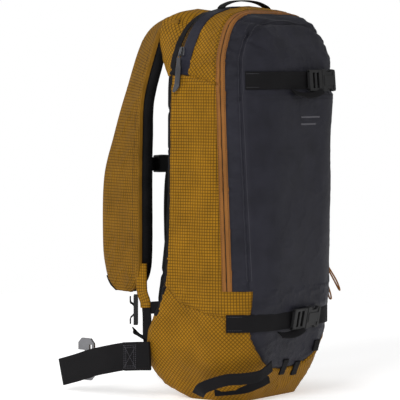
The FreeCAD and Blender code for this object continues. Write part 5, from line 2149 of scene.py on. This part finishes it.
@dataclass
class Inside:
    """Bladder, and better finishes on the hidden hardware's exact CAD forms."""

    maker: Maker

    def bladder(self) -> None:
        """The folded airbag bladder."""
        low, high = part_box("airbag_bladder")
        low, high = low * 1000, high * 1000
        centre = (low + high) / 2 + Vector((0, BASE_MIDDLE, 0))
        size = (high - low) / 2
        rings, girths, lengths = [], [], []
        for t in np.linspace(-1, 1, 90):
            end = (1 - abs(t) ** 8) ** 0.5
            ring, girth = [], []
            for k in range(96):
                angle = k * math.tau / 96
                c, s = math.cos(angle), math.sin(angle)
                reach = (abs(c) ** 7 + abs(s) ** 7) ** (-1 / 7)
                fold = 1 - 0.07 * (0.5 + 0.5 * math.cos(s * reach * 7 * math.pi)) * min(1.0, abs(c) * 2)
                y = c * reach * size.y * fold * (0.3 + 0.7 * end)
                z = s * reach * size.z * (0.55 + 0.45 * end)
                ring.append(centre + Vector((t * size.x, y, z)))
                girth.append(angle * 25)
            rings.append(ring)
            girths.append(girth)
            lengths.append(t * size.x)
        draft = Draft()
        draft.ring_skin(rings, lengths, girths)
        self.maker.kit.drafted(draft, "folded bladder", "pack", BLADDER, "bladder_fabric", ["airbag_bladder"])

    def spring(self) -> None:
        """The pin's return spring as a coil of six turns, at the CAD spring's size."""
        low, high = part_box("pin_spring")
        low, high = low * 1000, high * 1000
        centre = (low + high) / 2 + Vector((0, BASE_MIDDLE, 0))
        reach = (high.x - low.x) / 2 - 0.55
        count = 220
        line = []
        for k in range(count):
            angle = 6.0 * math.tau * k / (count - 1)
            z = low.z + 0.6 + (high.z - low.z - 1.2) * k / (count - 1)
            line.append(Vector((centre.x + reach * math.cos(angle), centre.y + reach * math.sin(angle), z)))
        thing = self.maker.tube(
            "pin return spring", [line], 0.5, "pack", ["pin_spring"], STEEL, "steel", sides=8
        )
        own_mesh(thing)

    def dress(self) -> None:
        """Give the CAD nodes that stay visible their finishes."""
        looks = {
            BLACK_PLASTIC: [
                "venturi_housing", "venturi_flap", "trigger_cable", "ladder_lock_left", "ladder_lock_right"
            ],
            GREY_METAL: ["belt_hook", "belt_ring"],
            RED: ["trigger_handle"],
            ALUMINIUM: ["frame_stay", "cartridge", "valve_head", "release_lever"],
            STEEL: ["lever_pin", "piercing_pin", "pressure_gauge"],
            SHEET: ["frame_sheet"],
        }
        for finish, nodes in looks.items():
            for node in nodes:
                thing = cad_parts[node]
                for holder in thing.material_slots:
                    holder.link = "OBJECT"
                    holder.material = self.maker.kit.shop.material(finish)
                log.info("%s keeps its CAD form in %s", node, finish.name)

    def build(self) -> None:
        """Place and dress everything inside."""
        self.bladder()
        self.spring()
        self.dress()


@dataclass
class Studio:
    """Pale floor, soft lights and the camera."""

    def build(self) -> None:
        """Set up the stage."""
        scene = bpy.context.scene
        floor_data = bpy.data.meshes.new("floor")
        floor_data.from_pydata(
            [(-1.3, -1.3, 0), (1.3, -1.3, 0), (1.3, 1.3, 0), (-1.3, 1.3, 0)], [], [(0, 1, 2, 3)]
        )
        floor = bpy.data.objects.new("floor", floor_data)
        scene.collection.objects.link(floor)
        paint = bpy.data.materials.new("floor")
        paint.use_nodes = True
        shader = next(n for n in paint.node_tree.nodes if n.type == "BSDF_PRINCIPLED")
        white = (1, 1, 1, 1)
        dial(shader, {"Base Color": (0.93, 0.93, 0.93, 1), "Roughness": 0.9})
        dial(shader, {"Emission Color": white, "Emission Strength": 0.42})
        floor_data.materials.append(paint)
        floor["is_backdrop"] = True
        world = bpy.data.worlds.new("studio")
        world.use_nodes = True
        back = next(n for n in world.node_tree.nodes if n.type == "BACKGROUND")
        dial(back, {"Color": white, "Strength": 0.40})
        bright = world.node_tree.nodes.new("ShaderNodeBackground")
        dial(bright, {"Color": white, "Strength": 1.0})
        seen = world.node_tree.nodes.new("ShaderNodeLightPath")
        blend = world.node_tree.nodes.new("ShaderNodeMixShader")
        out = next(n for n in world.node_tree.nodes if n.type == "OUTPUT_WORLD")
        for source, target in (
            (seen.outputs["Is Camera Ray"], blend.inputs[0]),
            (back.outputs[0], blend.inputs[1]),
            (bright.outputs[0], blend.inputs[2]),
            (blend.outputs[0], out.inputs[0]),
        ):
            world.node_tree.links.new(source, target)
        scene.world = world
        for name, spot, size, power in (
            ("key", (-2.6, -0.4, 2.0), 1.3, 52.0),
            ("fill", (0.6, -2.8, 1.6), 1.6, 16.0),
            ("rim", (-0.8, 2.4, 1.8), 1.4, 24.0),
        ):
            light = bpy.data.lights.new(name, "AREA")
            light.energy = power
            light.size = size
            lamp = bpy.data.objects.new(name, light)
            lamp.location = spot
            lamp.rotation_mode = "QUATERNION"
            lamp.rotation_quaternion = (Vector((0, 0, 0.28)) - Vector(spot)).to_track_quat("-Z", "Y")
            scene.collection.objects.link(lamp)
            lamp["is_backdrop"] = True
        camera = bpy.data.cameras.new("camera")
        camera.lens = 219.0
        camera.sensor_width = 36.0
        eye = bpy.data.objects.new("camera", camera)
        back_way = Vector((-0.818, -0.5728, 0.0523)).normalized()
        eye.location = Vector((-0.0476, 0.068 - BASE_MIDDLE / 1000, 0.282)) + back_way * 3.5
        eye.rotation_mode = "QUATERNION"
        eye.rotation_quaternion = (-back_way).to_track_quat("-Z", "Y")
        scene.collection.objects.link(eye)
        scene.camera = eye
        scene.view_settings.view_transform = "Standard"


def corners() -> List[List[float]]:
    """The shown object's box as plain lists."""
    return [list(corner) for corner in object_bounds()]


def main() -> None:
    """Build the looks of the whole object."""
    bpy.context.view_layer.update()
    kit = Kit(Workshop())
    maker, beads = Maker(kit), Beads(kit)
    bag = Bag(kit)
    bag.prepare()
    bag.build()
    for part in (
        FrontZip(bag, maker, beads),
        PanelDetails(bag, maker, beads),
        Compression(bag, maker, beads),
        TopZip(bag, maker, beads),
        Harness(bag, maker, beads),
        HipBelt(maker, beads),
        Loops(bag, maker),
        Inside(maker),
        Studio(),
    ):
        log.info("building %s", type(part).__name__)
        part.build()


if __name__ == "__main__":
    main()
